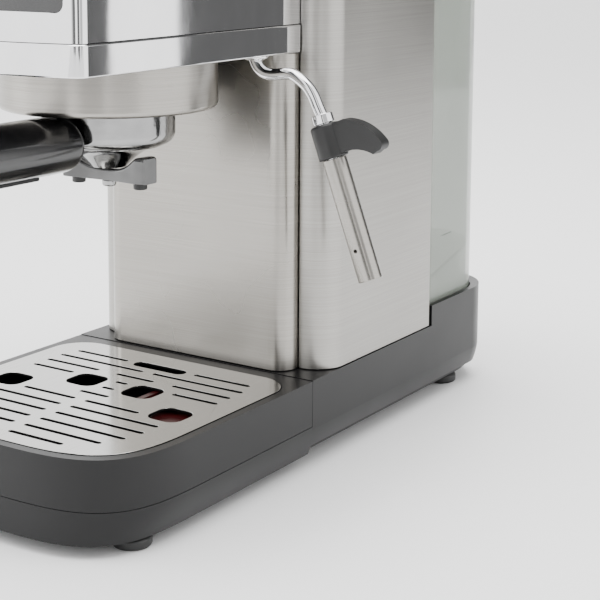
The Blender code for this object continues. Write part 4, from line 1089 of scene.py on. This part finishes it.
def makeHandle():
    # oval rings from the collar out to the rounded end
    rings = []
    for reach, wide, tall in smoothPath(handleShape["stations"], 5):
        rings.append([(wide * x, -handleShape["start"] - reach, handleHeight + tall * z)
                      for x, z in circle(1.0, 80)])
    mesh = lofted(rings)
    flat = block((0.05, 0.110, 0.01), (0, -0.103, handleHeight - 0.0172))
    addPiece("handleGrip", cut(mesh, flat), ["portafilter_handle"], 0.0004, 3, 30)
    outline = roundedBox(0.0060, 0.0500, 0.004, 0, -0.103)
    strip = slab([outline], handleHeight - 0.0138, handleHeight - 0.0125)
    addPiece("handleInlay", strip, ["handle_strip"], 0.0005, 3)


def makeBasket():
    rim, wall = 0.0286, 0.0008
    profile = [(0, 0.1748), (0.0275 - wall, 0.1748), (rim - wall, 0.1929), (0.0312, 0.1929),
               (0.0312, 0.1921), (rim, 0.1921), (0.0275, 0.1740), (0, 0.1740)]
    addPiece("coffeeBasket", turned(eased(profile, 0.0012), 96), ["filter_basket"], 0, 0, 45)


def makeScreen():
    low, high = nodeBox("shower_screen")
    rings = ((0.007, 8), (0.011, 14), (0.015, 20), (0.019, 26), (0.023, 32))
    slots = [(x, y, 0.0013, 0.0013) for ring, count in rings for x, y in circle(ring, count)]
    mesh = slottedMesh([circle(high.x, 96)], slots, low.z, high.z - low.z)
    addPiece("showerScreen", mesh, ["shower_screen"], 0, 0, 40)


makeRing()
makeFilterHolder()
makeSpout()
makeHandle()
makeBasket()
makeScreen()
print("brewing group and portafilter made")


# steam wand and knob

wandShape = {"lean": radians(20.1), "tube": 0.0030, "grip": 0.0165, "sleeveEnd": 0.0762,
             "elbow": (0.0396, -0.0337)}
ballLow, ballHigh = nodeBox("wand_ball")
wandPivot = Vector(((ballLow.x + ballHigh.x) / 2, (ballLow.y + ballHigh.y) / 2, 0.209))


def onWand(distance):
    # a point on the straight lower part, measured from the start of the grip
    return (wandShape["elbow"][0] + sin(wandShape["lean"]) * distance, 0,
            wandShape["elbow"][1] - cos(wandShape["lean"]) * distance)


def toWand(mesh, along=True):
    if along:
        moved(mesh, onWand(0), (0, -wandShape["lean"], 0))
    return moved(mesh, wandPivot)


def makeWand():
    clear = wandShape["tube"] + gap
    bends = [(0, -0.0010), (0, -0.0040), (0.0008, -0.0062), (0.0026, -0.0088), (0.0052, -0.0106),
             (0.0085, -0.0115), (0.0122, -0.0115), (0.0179, -0.0108), (0.0215, -0.0109), (0.0242, -0.0120),
             (0.0275, -0.0140), (0.0302, -0.0162), (0.0325, -0.0190), (0.0342, -0.0218), (0.0360, -0.0256)]
    route = [(x, 0, z) for x, z in bends] + [onWand(-0.004), onWand(0.004), onWand(0.0560)]
    addPiece("wandTube", toWand(sweep(smoothPath(route, 5), wandShape["tube"]), False), ["wand_tube"])

    nut = [(0.0053, 0.0050), (0.0053, 0.0003), (clear, 0.0003), (clear, 0.0050)]
    addPiece("wandNut", toWand(turned(nut, 12, True)), ["wand_nut"], 0.0004, 2, 20)

    length = wandShape["grip"]
    profile = [(0, 0), (0.0062, 0), (0.0072, -0.0010), (0.0072, 0.0004 - length), (0.0068, -length),
               (0, -length)]
    collar = moved(turned(eased(profile, 0.0006), 64), onWand(0), (0, -wandShape["lean"], 0))
    fin = arc(0.0525, -0.0560, 0.0262, 92, 42, 18) + arc(0.0697, -0.0403, 0.0030, 20, -80, 8)
    fin += arc(0.0606, -0.0640, 0.0205, 68, 118, 14) + [(0.0440, -0.0440), (0.0440, -0.0330)]
    tab = moved(slab([fin], -0.0035, 0.0035), (0, 0, 0), (pi / 2, 0, 0))
    bore = moved(rod(clear, -0.03, 0.010), onWand(0), (0, -wandShape["lean"], 0))
    mesh = carved(collar, ("UNION", tab), ("DIFFERENCE", bore))
    addPiece("wandGrip", toWand(mesh, False), ["wand_grip"], 0.0009, 3, 40)

    start, end = length + gap, wandShape["sleeveEnd"]
    profile = [(0.0058, -start), (0.0058, -end), (0.0045, -end), (0.0045, -start)]
    sleeve = turned(eased(profile, 0.0004, True), 80, True)
    air = moved(rod(0.0010, 0.0, 0.012, 24), (0, 0, -0.0612), (pi / 2, 0, 0))
    mesh = cut(sleeve, air)
    addPiece("wandSleeve", toWand(mesh), ["wand_sleeve"], 0, 0, 40)

    # the tube tilts inside the ball, so its bore widens downwards
    radius, mouth = 0.0049, 0.0040
    low = atan2(-sqrt(radius ** 2 - mouth ** 2), mouth)
    ball = arc(0, 0, radius, 90, low * 180 / pi, 24) + [(clear, 0.0010), (0, 0.0010)]
    addPiece("wandBall", toWand(turned(ball, 48), False), ["wand_ball"])

    nozzle = [(0, -0.0563), (0.0040, -0.0563), (0.0040, -0.0600), (0.0022, -0.0640), (0, -0.0640)]
    addPiece("wandNozzle", toWand(turned(eased(nozzle, 0.0005), 48)), ["wand_nozzle"])

    socket = [(0.0066, 0.2145), (0.0066, 0.2052), (0.0046, 0.2040), (0.0036, 0.2047), (0.0056, 0.2075),
              (0.0056, 0.2145)]
    mesh = moved(turned(eased(socket, 0.0004, True), 64, True), (wandPivot.x, wandPivot.y, 0))
    addPiece("wandSocket", mesh, ["wand_socket"], 0, 0, 40)


def makeKnob():
    low, high = nodeBox("steam_knob")
    centre = (low + high) / 2
    profile = [(0, 0.0200), (0.0142, 0.0200), (0.0155, 0.0185), (0.0160, 0.0050), (0.0168, 0.0012),
               (0.0168, gap), (0.0032, gap), (0.0032, 0.0135), (0, 0.0135)]
    mesh = turned(eased(profile, 0.0009), 120)
    ribs = scattered(rod(0.00045, 0.0030, 0.0170, 8),
                     [((0.01572 * cos(angle), 0.01572 * sin(angle), 0), (0, 0, angle))
                      for angle in [2 * pi * index / 48 for index in range(48)]], finishes["gloss_black"])
    mesh = carved(mesh, ("UNION", ribs))
    moved(mesh, (low.x - gap, centre.y, centre.z), (0, pi / 2, 0))
    addPiece("steamKnob", mesh, ["steam_knob"], 0, 0, 40)


makeWand()
makeKnob()
print("wand and knob made")


# water tank

tankShape = {"wall": 0.0022, "floorTilt": atan2(0.010, 0.040), "levelMark": 0.094}


def makeTank():
    low, high = nodeBox("water_tank")
    wall, tilt = tankShape["wall"], tankShape["floorTilt"]
    below = cut(slab([tankOutline(wall)], 0.02, 0.12),
                moved(block((0.20, 0.20, 0.08), (0, 0, 0.04)), (0, 0.2100, 0.0722), (tilt, 0, 0)))
    above = cut(slab([tankOutline(wall)], 0.05, high.z + 0.01),
                moved(block((0.20, 0.20, 0.08), (0, 0, -0.04)), (0, 0.2100, 0.0746), (tilt, 0, 0)))
    port = slab([circle(0.0060, 32, 0, 0.232)], 0.05, 0.12)
    mark = block((0.0010, 0.012, 0.0007), (high.x, 0.214, tankShape["levelMark"]))
    mesh = cut(slab([tankOutline()], low.z, high.z), below, above, port, mark)
    addPiece("waterTank", mesh, ["water_tank"], 0.0005)


def makeLid():
    low, high = nodeBox("tank_lid")
    tankLow, tankHigh = nodeBox("water_tank")
    stepOutline = tankOutline(tankShape["wall"] + 0.0008, tankLow.y + 0.003)
    step = slab([stepOutline], tankHigh.z - 0.005, tankHigh.z + 0.002)
    mesh = carved(slab([tankOutline(-0.0008)], tankHigh.z + gap, high.z), ("UNION", step))
    addPiece("tankLid", mesh, ["tank_lid"], 0.0010, 3)


makeTank()
makeLid()
print("tank made")


# softened copies of the plain pieces

softened = {
    "bottom_cover": 0.0004, "mains_inlet": 0.0003, "foot_front_left": 0.0004, "foot_front_right": 0.0004,
    "foot_rear_left": 0.0004, "foot_rear_right": 0.0004, "chassis": 0.0003, "rear_cover": 0.0002,
    "tank_dock": 0.0004, "head_frame": 0.0002, "control_board": 0.0001, "group_head": 0.0003,
    "group_gasket": 0.0003, "screen_screw": 0.0002, "steam_valve": 0.0003, "steam_spindle": 0.0002,
    "tank_valve": 0.0003, "boiler": 0.0004, "pump": 0.0004, "pump_mount": 0.0003,
    "solenoid_valve": 0.0004, "suction_hose": 0.0, "pressure_pipe": 0.0, "steam_pipe": 0.0,
}
for nodeName, edge in softened.items():
    addPiece("soft_" + nodeName, nodeMesh(nodeName), [nodeName], edge, 2, 34)
print("plain pieces softened:", len(softened))
